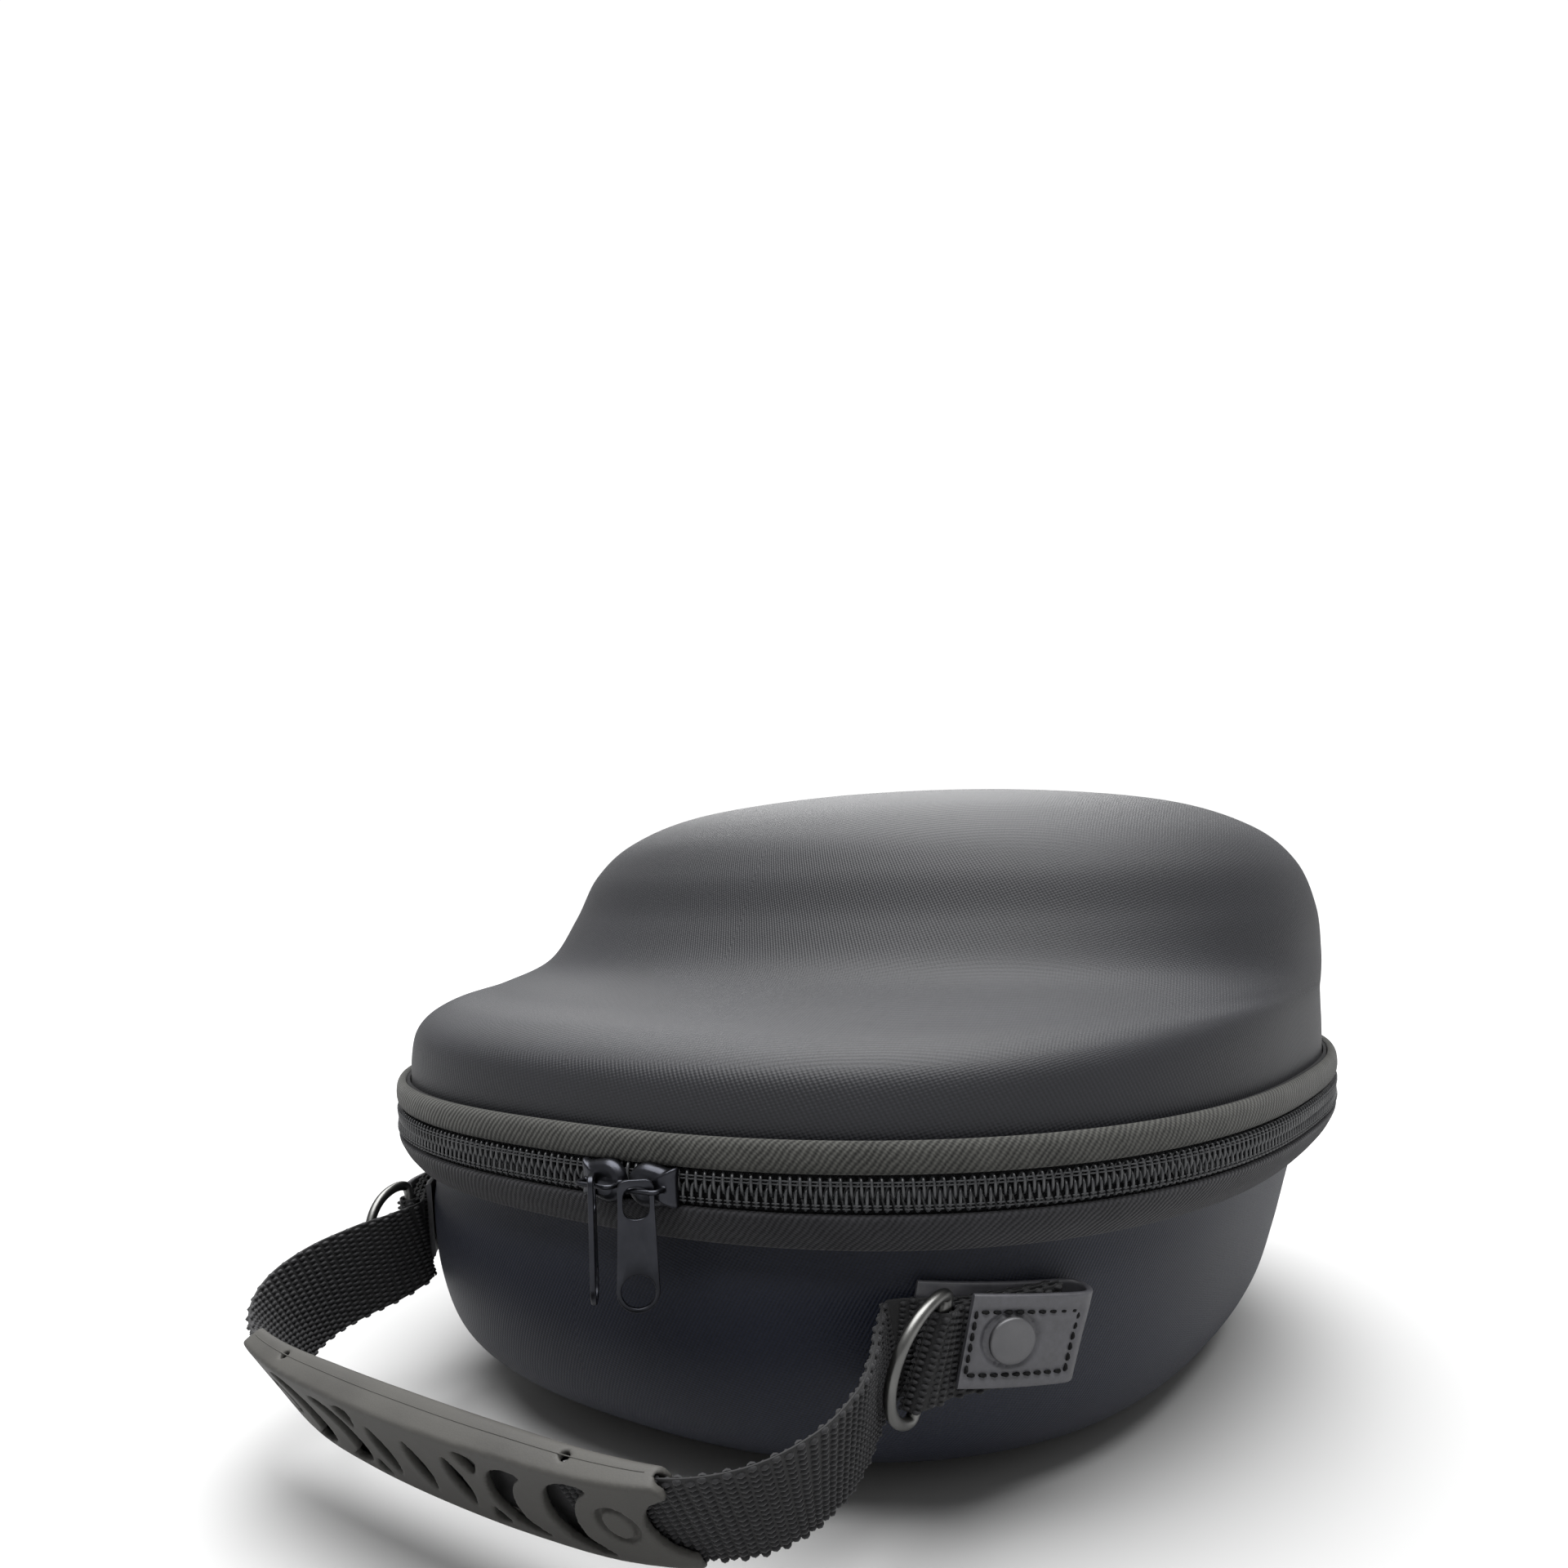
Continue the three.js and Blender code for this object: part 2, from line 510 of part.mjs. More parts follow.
function gripGeometry() {
  const rows = GRIP_STATIONS.map((part) => part * GRIP.half);
  const narrow = GRIP_CHANNEL.wide + GRIP.rim;
  const outer = rows.map((along) => {
    const swell = Math.sqrt(Math.max(0, 1 - (along / GRIP.half) ** GRIP.ends));
    return gripRing(along, narrow + (GRIP.wide - narrow) * swell, gripFace(along), GRIP.round);
  });
  const { wide, thick, square } = GRIP_CHANNEL;
  const inner = rows.map((along) => gripRing(along, wide, thick, square)).reverse();
  const sleeve = loft([...outer, ...inner], true);
  const bosses = [1, -1].map((end) => gripBoss(end * GRIP_BOSS.along));
  const slots = GRIP_SLOTS.flatMap((row) => (row.along ? [1, -1] : [1]).map((end) => gripSlot(row, end)));
  return cut(join(sleeve, bosses), slots);
}

function gripBoss(along) {
  const face = gripFace(along);
  const levels = [face - GRIP_BOSS.root, face + GRIP_BOSS.proud];
  return loft(
    levels.map((thick) =>
      circlePoints([along, 0], GRIP_BOSS.radius, GRIP.sides).map(([a, wide]) => handlePoint(gripAt(a), wide, thick)),
    ),
  );
}

// Slider: a shield-shaped plate in front of the coil, with a staple for its pull. Local -Y faces outwards.
function sliderGeometry(nose) {
  const { length, height, front, plate } = SLIDER;
  const { corner, bulge, rear, shoulder, brow } = SHIELD;
  const [l, h] = [(nose * length) / 2, height / 2];
  const shield = new THREE.Shape();
  shield.moveTo(-l, -h + corner);
  shield.lineTo(-l, h - corner);
  shield.quadraticCurveTo(-rear * l, h + bulge, shoulder * l, h);
  shield.quadraticCurveTo(l, brow * h, l, 0);
  shield.quadraticCurveTo(l, -brow * h, shoulder * l, -h);
  shield.quadraticCurveTo(-rear * l, -h - bulge, -l, -h + corner);
  const body = new THREE.ExtrudeGeometry(shield, { depth: plate, bevelEnabled: false, curveSegments: CURVE_STEPS });
  body.rotateX(Math.PI / 2).translate(0, -(front - plate), 0);
  const { wire, span, stand, bend, sunk } = BAIL;
  const staple = new THREE.Shape();
  const [a, b] = [(span + wire) / 2, (span - wire) / 2];
  const [under, over] = [stand - wire / 2, stand + wire / 2];
  staple.moveTo(-a, -sunk);
  staple.lineTo(-a, under);
  staple.lineTo(-a + bend, over);
  staple.lineTo(a - bend, over);
  staple.lineTo(a, under);
  staple.lineTo(a, -sunk);
  staple.lineTo(b, -sunk);
  staple.lineTo(b, under);
  staple.lineTo(-b, under);
  staple.lineTo(-b, -sunk);
  const bail = new THREE.ExtrudeGeometry(staple, { depth: wire, bevelEnabled: false });
  bail.translate(0, 0, -wire / 2).rotateX(Math.PI).translate(0, -front, 0);
  return join(body, [bail]);
}

// Pull: pierced sheet metal in the XZ plane, hung so that the bail's wire runs through the origin
function pullGeometry() {
  const { sheet, drop, eye, waist, flare, foot, hole, slack, rim, round } = PULL;
  const { wide, tall, corner } = EYE_HOLE;
  const top = BAIL.wire / 2 + slack + rim;
  const low = top - drop + foot;
  const outline = new THREE.Shape();
  outline.moveTo(-waist, low + flare);
  outline.lineTo(-eye, top - tall - rim);
  outline.lineTo(-eye, top - round);
  outline.quadraticCurveTo(-eye, top, -eye + round, top);
  outline.lineTo(eye - round, top);
  outline.quadraticCurveTo(eye, top, eye, top - round);
  outline.lineTo(eye, top - tall - rim);
  outline.lineTo(waist, low + flare);
  outline.lineTo(foot, low);
  outline.absarc(0, low, foot, 0, -Math.PI, true);
  const eyeHole = new THREE.Path();
  const [w, upper, lower] = [wide / 2, top - rim, top - rim - tall];
  eyeHole.moveTo(-w + corner, upper);
  eyeHole.quadraticCurveTo(-w, upper, -w, upper - corner);
  eyeHole.lineTo(-w, lower + corner);
  eyeHole.quadraticCurveTo(-w, lower, -w + corner, lower);
  eyeHole.lineTo(w - corner, lower);
  eyeHole.quadraticCurveTo(w, lower, w, lower + corner);
  eyeHole.lineTo(w, upper - corner);
  eyeHole.quadraticCurveTo(w, upper, w - corner, upper);
  const footHole = new THREE.Path().absarc(0, low, hole, 0, 2 * Math.PI, false);
  outline.holes.push(eyeHole, footHole);
  const body = new THREE.ExtrudeGeometry(outline, { depth: sheet, bevelEnabled: false, curveSegments: CURVE_STEPS });
  return body.translate(0, 0, -sheet / 2).rotateX(Math.PI / 2);
}

// Materials
const finish = (color, roughness, metalness = 0) => new THREE.MeshStandardMaterial({ color, roughness, metalness });
const knit = () => finish(0x3a3a40, 0.9);
const foamCloth = () => finish(0x1b1d26, 0.85);
const twill = () => finish(0x3c3b38, 0.9);
const nylonCoil = () => finish(0x3a3c3e, 0.45);
const gunmetal = () => finish(0x45484a, 0.3, 1);
const leather = () => finish(0x4a4a4e, 0.5);
const nylonWeb = () => finish(0x26262a, 0.85);
const gripRubber = () => finish(0x4d4c49, 0.75);

// Assembly
const group = new THREE.Group();
function add(name, geometry, material, parent = group) {
  const mesh = new THREE.Mesh(geometry, material);
  mesh.name = name;
  parent.add(mesh);
  return mesh;
}

add("lid_shell", shell(LID_SECTIONS, SHELL_STEPS.lid, true), knit());
add("bowl_shell", cut(shell(BOWL_SECTIONS, SHELL_STEPS.bowl, false), [rivetHole(1), rivetHole(-1)]), foamCloth());
add("upper_binding", rimStrip(UPPER_BINDING), twill());
add("lower_binding", rimStrip(LOWER_BINDING), twill());
add("zip_upper_tape", rimStrip(UPPER_TAPE, -ZIP_END, ZIP_END), twill());
add("zip_lower_tape", rimStrip(LOWER_TAPE, -ZIP_END, ZIP_END), twill());
add("zip_coil", rimStrip(COIL, -ZIP_END, ZIP_END), nylonCoil());
add("hinge_strip", rimStrip(HINGE_STRIP, ZIP_END + HINGE_GAP, 360 - ZIP_END - HINGE_GAP), twill());

for (const [name, side] of [["right", 1], ["left", -1]]) {
  const degreesPerMm = 180 / Math.PI / (CASE_LENGTH / 2);
  const frame = rimFrame(rad(SLIDERS_MEET + side * (SLIDER.length / 2 + SLIDER.nose) * degreesPerMm));
  const seat = new THREE.Group();
  seat.position.copy(frame.at);
  seat.rotation.z = Math.atan2(frame.out.x, -frame.out.y);
  group.add(seat);
  add("slider_" + name, sliderGeometry(-side), gunmetal(), seat);
  const pull = add("pull_" + name, pullGeometry(), gunmetal(), seat);
  pull.position.y = -SLIDER.front - BAIL.stand;
  pull.rotation.z = rad(PULL_TWIST[name]);

  add("tab_" + name, cut(wallPiece(side, tabOutline, TAB.height), [rivetHole(side)]), leather());
  add("ring_loop_" + name, cut(wallPiece(side, loopOutline, LOOP.width, LOOP.drop), [rivetHole(side)]), nylonWeb());
  add("d_ring_" + name, ringGeometry(side), gunmetal());
  add("rivet_" + name, rivetGeometry(side), gunmetal());
}

add("handle_strap", strapGeometry(), nylonWeb());
add("handle_grip", gripGeometry(), gripRubber());

export default group;
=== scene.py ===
# Looks of the cap carrier: cloth-covered foam case, zip, leather tabs and webbing handle.
# Sizes in the tables are millimetres; the scene is in metres, +Z up, with the bill end towards -Y.
import math

import bmesh
import bpy
import numpy as np
from mathutils import Matrix, Vector


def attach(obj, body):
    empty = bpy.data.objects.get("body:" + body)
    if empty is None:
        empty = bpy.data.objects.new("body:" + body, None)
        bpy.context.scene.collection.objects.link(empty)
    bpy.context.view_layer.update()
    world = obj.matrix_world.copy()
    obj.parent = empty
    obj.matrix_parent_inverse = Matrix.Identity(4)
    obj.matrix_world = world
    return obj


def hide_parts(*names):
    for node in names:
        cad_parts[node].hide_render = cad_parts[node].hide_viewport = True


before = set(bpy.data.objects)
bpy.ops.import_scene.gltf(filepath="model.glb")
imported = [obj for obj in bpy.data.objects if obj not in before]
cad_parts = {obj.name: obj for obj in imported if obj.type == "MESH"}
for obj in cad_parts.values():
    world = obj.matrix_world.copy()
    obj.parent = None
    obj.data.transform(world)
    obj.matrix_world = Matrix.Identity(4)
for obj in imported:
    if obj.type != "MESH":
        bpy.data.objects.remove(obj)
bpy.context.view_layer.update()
MM = 0.001

# Case: rise from the zip line, shift to the back, half-length, half-width and squareness of each section
ZIP_RISE = 78.5
SHELL_WALL = 4
BOWL_SECTIONS = np.array([
    [-78.5, -1.5, 86, 76, 2.35],
    [-76.2, -1.5, 99, 92, 2.4],
    [-69, -2, 118, 103, 2.45],
    [-58, -2, 131, 110, 2.52],
    [-43, -2, 136.5, 114.6, 2.52],
    [-26, -1.5, 137.6, 118.9, 2.48],
    [-13, -0.4, 135.9, 122.4, 2.43],
    [-4.2, 0, 140.8, 127.8, 2.43],
])
LID_SECTIONS = np.array([
    [4.2, 0, 141.9, 128.9, 2.43],
    [17, 0, 141.6, 128.8, 2.43],
    [25, 0.7, 138.9, 128.6, 2.42],
    [29.8, 4.5, 132, 128.4, 2.38],
    [33, 14, 121.5, 127.8, 2.3],
    [39.5, 26, 110.5, 126.2, 2.25],
    [53, 32, 104, 124, 2.2],
    [67, 33.5, 97.5, 118, 2.2],
    [78, 33.5, 87.5, 105.5, 2.15],
    [86.5, 32.5, 68, 82, 2.1],
    [91.5, 32, 36, 43, 2.05],
    [92.6, 32, 5, 6, 2],
])
ZIP_OVAL = np.array([[0, 0, 145, 132, 2.43]])
# Mesh points round the case and rows up each shell
AROUND = 288
LID_ROWS = 88
BOWL_ROWS = 63
# How far a shell faces up or down, 0 to 1, where its cloth starts to lie flat, and the change till it does
TOP = {"from": 0.62, "fade": 0.2}

# Rim: degrees from the bill to each end of the zip, and from there to the hinge strip
ZIP_END = 150
ZIP_STOP = 0.3
# Trim as outlines of [out, rise] from the zip oval, with the radius of their corners
BINDING_ROUND = 1.2
TAPE_ROUND = 0.3
UPPER_BINDING = [[-1.7, 10.9], [-0.3, 11.2], [0.8, 9.6], [1.1, 6.6], [0.6, 4.1], [-1.7, 4.1]]
LOWER_BINDING = [[-1.2, -4.2], [0.7, -4.2], [0.6, -5.6], [-1.2, -9.2], [-4.3, -13], [-6.3, -13.4]]
UPPER_TAPE = [[-2.8, 0.2], [-2, 0.2], [-2, 10.6], [-2.8, 10.6]]
LOWER_TAPE = [[-2.8, -0.2], [-2, -0.2], [-2, -4.6], [-6.8, -13.2], [-7.6, -12.9], [-2.8, -4.6]]
HINGE_STRIP = [
    [-1.4, -3.5], [-1.4, 3.4], [-2.05, 3.7], [-2, 10.6], [-2.8, 10.6],
    [-2.8, -4.6], [-7.6, -12.9], [-6.8, -13.2], [-2, -4.6], [-2, -4],
]
# Wound wire of the zip: its sizes, mesh steps in a turn and round the wire, and how upright its strokes stand
COIL = {
    "pitch": 2.1, "wire": 0.37, "span": 2.15, "middle": 1.3, "depth": 0.85, "out": -0.35,
    "steps": 12, "sides": 7, "upright": 0.14,
}
# Points along the rim: those that carry the coil, and finer ones that measure where its stitches fall
COIL_POINTS = 720
RIM_SAMPLES = 2000
COIL_SEAM = {"rises": (2.05, 2.75), "out": 0.72, "stitch": (1.9, 0.42, 0.3)}
# Bulge of the coil where the sliders meet: half-width along the zip, rise and out
COIL_PART = {"width": 3.2, "rise": 0.5, "out": 0.6}

# Sliders and pulls; the sliders meet this many degrees from the bill
SLIDERS_MEET = 9.6
SLIDER = {"length": 10.4, "height": 9.6, "front": 3.3, "apart": 0.4}
BAIL = {"wire": 1.2, "span": 9.4, "stand": 3.9, "bend": 1.6, "foot": 1}
PULL = {
    "sheet": 1.2, "drop": 28.5, "eye": 3.9, "foot": 4.6, "hole": 3.6,
    "slack": 0.45, "rim": 1.5, "round": 2.4, "edge": 0.25,
}
EYE_HOLE = {"wide": 5.6, "tall": 7, "corner": 2.8}
PULL_TWIST = {"right": 36, "left": -54}
# Mesh steps in a bend of the bail or the pull
BEND_STEPS = 6
# Upper half of the slider's shield as shares of its half-length (nose first) and half-height
SHIELD = [
    [1, 0], [0.93, 0.45], [0.62, 0.84], [0.2, 1], [-0.45, 0.92],
    [-0.95, 0.82], [-1.3, 0.9], [-1.3, 0.4], [-1.3, 0],
]
# Shield's dome: its peak as a share of the half-length, then share of the outline and height at each step
SHIELD_PEAK = 0.12
SHIELD_DOME = [
    [1, 0.9], [1, 1.8], [0.98, 2.3], [0.92, 2.9], [0.8, 3.5],
    [0.6, 4], [0.35, 4.3], [0.12, 4.4], [0.01, 4.4],
]
# Mesh size of a slider and how many times it is softened
SLIDER_VOXEL = 0.2
SLIDER_SMOOTH = 3

# What is on each side of the case: handle ends, sliders and pulls
SIDES = (("right", 1), ("left", -1))

# Handle tabs on the bowl wall: arc to the back, height across, lift off the wall
TAB = {
    "angle": 43.2, "rise": 46.6, "tilt": 5, "length": 28, "tongue": 9, "height": 20.5,
    "leather": 1.4, "depth": 7.8, "short": 0.7, "skew": 5, "edge": 0.5, "spacing": 0.45, "stations": 170,
}
# Depth and half-width of the leather's dips along its seam and round its rivet; the second clears the cap
DIP = {"seam": (0.4, 0.8), "rivet": (0.7, 0.6), "clear": 0.4}
# Gap between the bowl wall and the leather
WALL_GAP = 0.5
WEBBING = {"width": 25, "thick": 1.3, "lift": 2.85, "end": 6, "leaves": -26, "drop": 0.16}
LOOP = {
    "width": 21, "thick": 1.1, "lift": 3.9, "back": 7, "eye": 2,
    "ahead": 5.6, "skew": 12, "drop": 0.2, "gap": 0.3, "wraps": 210,
}
RING = {"wire": 2.7, "swing": 46}
# Upper half of the ring's middle line from its bar: ahead, up
RING_BOW = [
    [0, 5], [0, 10], [0.1, 12.2], [0.8, 13.6], [2.5, 14],
    [5.8, 13.2], [9.6, 10.8], [12.6, 7], [14.2, 2.4],
]
RIVET = {
    "arc": -4.2, "height": 0.5, "cap": 5.2, "crown": 1.1, "seat": 0.1,
    "shank": 1.5, "head": 4, "plate": 1, "clear": 1.3,
}
# Rivet cap as shares of its radius and of its crown, from under its seat to its middle
RIVET_CAP = [
    [0.9, -0.6], [0.9, -0.1], [1, 0], [1, 0.4], [0.97, 0.68], [0.91, 0.84],
    [0.75, 0.93], [0.5, 0.98], [0.2, 1], [0.002, 1],
]
SEAM = {
    "front": -12.2, "fold": 9.6, "low": -7.2, "high": 6.4,
    "pitch": 2.4, "sunk": 0.45, "stitch": (2.05, 1.05, 0.8),
}
SEAM_CORNERS = [("front", "low"), ("fold", "low"), ("fold", "high"), ("front", "high")]
LUMP = {"arc": 8.5, "height": 6.5, "long": 5, "tall": 4, "rise": 0.5}
# Webbing weave: how far apart the yarn floats are along and across a piece and off its edges, and their size
WEAVE = {"along": 2.1, "across": 1.36, "inset": 0.4, "float": (1.98, 1.14, 0.74)}
YARN_SUNK = 0.38
# Core under the yarn: how much thinner and narrower it is, its round edge and the spacing of its mesh
CORE = {"thinner": 0.7, "narrower": 0.3, "round": 0.35, "spacing": 1.2}
# How far on a direction along a strap or a seam is taken
LOOK_AHEAD = 0.2
# Spacing of the strap's stations, and the stretch from each end over which it opens to its full width
STRAP_SPACING = 0.5
STRAP_GATHER = {"from": 16, "to": 51, "share": 0.8}

# Handle: middle line from the grip's middle to the right tab as side, ahead, rise; mirrored for the left
HANDLE_ROUTE = np.array([
    [0, 180.5, 27.3], [25, 179.9, 27.3], [50, 177.8, 27.6], [66.5, 174, 28.9], [76, 168, 31],
    [81.5, 160, 34], [83, 150, 37], [81, 140, 39.5], [77.5, 130, 42],
])
STRAP_LEAD = 8
# The handle's lean in degrees at the grip, and the share of its length over which it comes to that
GRIP_LEAN = 32
LEAN_SETTLES = 0.3
# Half sizes of the grip; arch and swell are the powers by which it tapers in depth and in width
GRIP = {
    "half": 64.5, "wide": 14.3, "thick": 4.3, "tip": 2.7, "rim": 0.3, "back": 0.86, "dome": 0.5,
    "arch": 0.7, "swell": 4, "stations": 97, "voxel": 0.46, "smooth": 4,
}
# Radii of the section's corners, in the order of its outline
GRIP_ROUNDS = [0.9, 3, 2.4, 1.6, 2]
# Hollow for the strap: half-width, least half-depth, wall over it, corners, and how far it passes the ends
GRIP_CHANNEL = {"wide": 12.7, "least": 1.05, "wall": 1.9, "round": 1, "beyond": 3, "stations": 70}
GRIP_BOSS = {"along": 51.5, "across": 0.4, "wide": 3.1, "tall": 4.2, "groove": 1.3, "deep": 1.3, "clear": 2}
GRIP_PIN = {"along": 43.7, "off": -0.3, "radius": 1.1, "across": (12, 16)}
GRIP_FLASH = {"radius": 0.12, "short": 4, "stations": 90}
# Half-length of the strap inside the grip that has no yarn, so that its darker core shows through the slots
# as painted shade
BARE_CORE_IN_GRIP = 38
# Slots as outlines of [along, across], each from its own middle
GRIP_LEAF = [
    [0, 8], [1.5, 5.2], [2.4, 1.5], [2.3, -2.5], [1.2, -6],
    [0, -8], [-1.6, -5.4], [-2.5, -1.5], [-2.3, 2.8], [-1.2, 6],
]
GRIP_CRESCENT = [
    [-3.6, -2.8], [-2.8, 2.2], [-0.6, 6.6], [3.4, 9.6], [8.2, 9.6], [8.6, 8.6], [6, 6],
    [3.8, 2.4], [2.7, -2], [3.2, -6.2], [7.6, -10.2], [3, -10.4], [-1.4, -8],
]
GRIP_NICK = [[-1.8, 2.8], [1.4, 3], [3.6, 1.8], [3, 0], [0.4, -3.4], [-0.8, -1.6]]
# What is cut off each end, from the grip's middle: its upper corner and its open mouth
GRIP_END_CORNER = [[57, 17], [59.6, 15.4], [61.9, 13.7], [63.7, 11.6], [64.3, 9], [68, 9], [68, 17]]
GRIP_MOUTH = [[57.6, 1], [58.8, 5.2], [61.5, 8.4], [68, 9.8], [68, -8.6], [61.5, -7.2], [58.6, -3.6]]
# Slots of the right half: outline, along, across, size; a negative size is upside down
GRIP_SLOTS = [
    [GRIP_LEAF, 0, 0, 1],
    [GRIP_LEAF, 12, 0, 1],
    [GRIP_NICK, 18.4, 8.4, 1],
    [GRIP_NICK, 18.2, -8.4, -0.8],
    [GRIP_CRESCENT, 24, 0, 1],
    [GRIP_CRESCENT, 39, 0.4, 1.08],
]


# Shapes: each is (points in mm, faces, a texture place in mm for every corner of every face)
def unit(v):
    return v / np.linalg.norm(v, axis=-1, keepdims=True)


def ease(t):
    """A smooth step from 0 to 1, level outside."""
    t = np.clip(t, 0, 1)
    return t * t * (3 - 2 * t)


def lengths(points):
    """Distance run along a row of points, from 0."""
    return np.concatenate([[0], np.cumsum(np.linalg.norm(np.diff(points, axis=0), axis=1))])


def grid(points, u=None, v=None, wrap_rows=False, wrap_cols=False, caps=False):
    """Quads over points [row, column, xyz]; u and v are the texture places of the rows and the columns."""
    points = np.asarray(points, float)
    n, m = points.shape[:2]
    rows, cols = n - 1 + wrap_rows, m - 1 + wrap_cols
    u = np.arange(rows + 1.0) if u is None else np.asarray(u)
    v = np.arange(cols + 1.0) if v is None else np.asarray(v)
    i, j = np.meshgrid(np.arange(rows), np.arange(cols), indexing="ij")
    corners = ((0, 0), (0, 1), (1, 1), (1, 0))
    quads = np.stack([((i + a) % n) * m + (j + b) % m for a, b in corners], -1).reshape(-1, 4)
    places = np.stack([np.stack([u[i + a], v[j + b]], -1) for a, b in corners], -2).reshape(-1, 2)
    faces = quads.tolist()
    if caps:
        faces += [list(range(m)), list(range((n - 1) * m, n * m))[::-1]]
        places = np.concatenate([places, np.zeros((2 * m, 2))])
    return points.reshape(-1, 3), faces, places


WELD = 0.001


def closed(mesh):
    """The mesh with its seams welded and its faces turned out."""
    work = bmesh.new()
    work.from_mesh(mesh)
    bmesh.ops.remove_doubles(work, verts=work.verts, dist=WELD * MM)
    bmesh.ops.recalc_face_normals(work, faces=work.faces)
    work.to_mesh(mesh)
    work.free()
    return mesh


def mesh_object(name, shape, sharp=40):
    """A linked mesh object at the origin, closed, facing out and shaded smooth below the sharp angle."""
    points, faces, places = shape
    mesh = bpy.data.meshes.new(name)
    mesh.from_pydata((points * MM).tolist(), [], faces)
    mesh.uv_layers.new(name="UVMap").data.foreach_set("uv", (places * MM).ravel())
    return shaded(linked(name, closed(mesh)), sharp)


def linked(name, mesh):
    obj = bpy.data.objects.new(name, mesh)
    bpy.context.scene.collection.objects.link(obj)
    return obj


def shaded(obj, sharp):
    obj.data.shade_smooth()
    obj.data.set_sharp_from_angle(angle=math.radians(sharp))
    return obj


def made_mesh(obj):
    """The mesh that an object makes with its modifiers or from its curve."""
    graph = bpy.context.evaluated_depsgraph_get()
    return bpy.data.meshes.new_from_object(obj.evaluated_get(graph))


def plain(obj):
    """The object with its modifiers worked into its mesh."""
    mesh = made_mesh(obj)
    obj.modifiers.clear()
    obj.data = mesh
    return obj


def dress(obj, material, body="case", replaces=()):
    """Gives a piece its material and the body that carries it, and hides the nodes that it stands for."""
    obj.data.materials.clear()
    obj.data.materials.append(material)
    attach(obj, body)
    if replaces:
        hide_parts(*replaces)


def rounded(outline, radius, steps=4):
    """A closed outline with its corners turned into short curves."""
    outline = np.asarray(outline, float)
    points = []
    radii = np.broadcast_to(radius, len(outline))
    for p, before, after, r in zip(outline, np.roll(outline, 1, 0), np.roll(outline, -1, 0), radii):
        a, b = before - p, after - p
        start = p + a * min(r / np.linalg.norm(a), 0.5)
        end = p + b * min(r / np.linalg.norm(b), 0.5)
        for t in np.linspace(0, 1, steps + 1):
            points.append((1 - t) ** 2 * start + 2 * t * (1 - t) * p + t**2 * end)
    return np.array(points)


def arc_points(centre, radius, start, stop, steps):
    """Points of a flat arc between two angles in degrees."""
    a = np.radians(np.linspace(start, stop, steps + 1))
    return np.stack([centre[0] + radius * np.cos(a), centre[1] + radius * np.sin(a)], -1)


def circle(count, radius=1, centre=(0, 0)):
    """Points of a whole flat circle."""
    return arc_points(centre, radius, 0, 360 - 360 / count, count - 1)


def level_run(start, stop, lift, count):
    """A row of points from start to stop, all at one lift."""
    return np.stack([np.linspace(start, stop, count), np.full(count, lift)], -1)


def poly_line(curve, points, ring=False):
    """Adds a row of points in mm to a curve."""
    spline = curve.splines.new("POLY")
    spline.points.add(len(points) - 1)
    spline.points.foreach_set("co", np.concatenate([points * MM, np.ones((len(points), 1))], 1).ravel())
    spline.use_cyclic_u = ring


# Case surfaces
def blend_rows(rows, t):
    """Table rows blended along a Catmull-Rom spline, at t from 0 to 1."""
    at = np.clip(np.asarray(t, float), 0, 1) * (len(rows) - 1)
    i = np.minimum(at.astype(int), len(rows) - 2)
    f = (at - i)[:, None]
    a, b, c, d = (rows[np.clip(i + k, 0, len(rows) - 1)] for k in (-1, 0, 1, 2))
    return b + f * ((c - a) + f * ((2 * a - 5 * b + 4 * c - d) + f * (3 * b - a - 3 * c + d))) / 2


def oval_points(sections, angles):
    """Points on the ovals of the sections, at angles from the bill towards +X; both arrays broadcast."""
    rise, shift, reach, half, square = np.moveaxis(sections, -1, 0)
    s, c = np.sin(angles), np.cos(angles)
    r = ((abs(s) / half) ** square + (abs(c) / reach) ** square) ** (-1 / square)
    return np.stack([r * s, shift - r * c, ZIP_RISE + rise + 0 * r], -1)


def skin_normals(points):
    """Directions out of a skin of points [row, column, xyz] that closes round its columns."""
    around = np.roll(points, -1, 1) - np.roll(points, 1, 1)
    upward = np.gradient(points, axis=0)
    return unit(np.cross(around, upward))


def shell(sections, steps, rim_row):
    """Foam shell: outer skin, flat rim edge, inner skin one wall inside."""
    t = np.linspace(0, 1, steps + 1)
    angles = np.linspace(0, 2 * np.pi, AROUND, endpoint=False)
    outer = oval_points(blend_rows(sections, t)[:, None, :], angles[None, :])
    inner = outer - SHELL_WALL * skin_normals(outer)
    inner[rim_row, :, 2] = outer[rim_row, :, 2]
    order = slice(None, None, -1) if rim_row == 0 else slice(None)
    skin = np.concatenate([outer[order], inner[order][::-1]])
    run = lengths(skin[:, 0])
    girth = 2 * np.pi * 0.5 * (sections[:, 2].max() + sections[:, 3].max())
    return grid(skin, u=run, v=np.linspace(0, girth, AROUND + 1), wrap_cols=True, caps=True)


def rim_frames(angles):
    """Points of the zip oval, with their directions along it and outwards."""
    step = 1e-3
    along = unit(oval_points(ZIP_OVAL, angles + step) - oval_points(ZIP_OVAL, angles - step))
    return oval_points(ZIP_OVAL, angles), along, np.cross(along, [0, 0, 1])


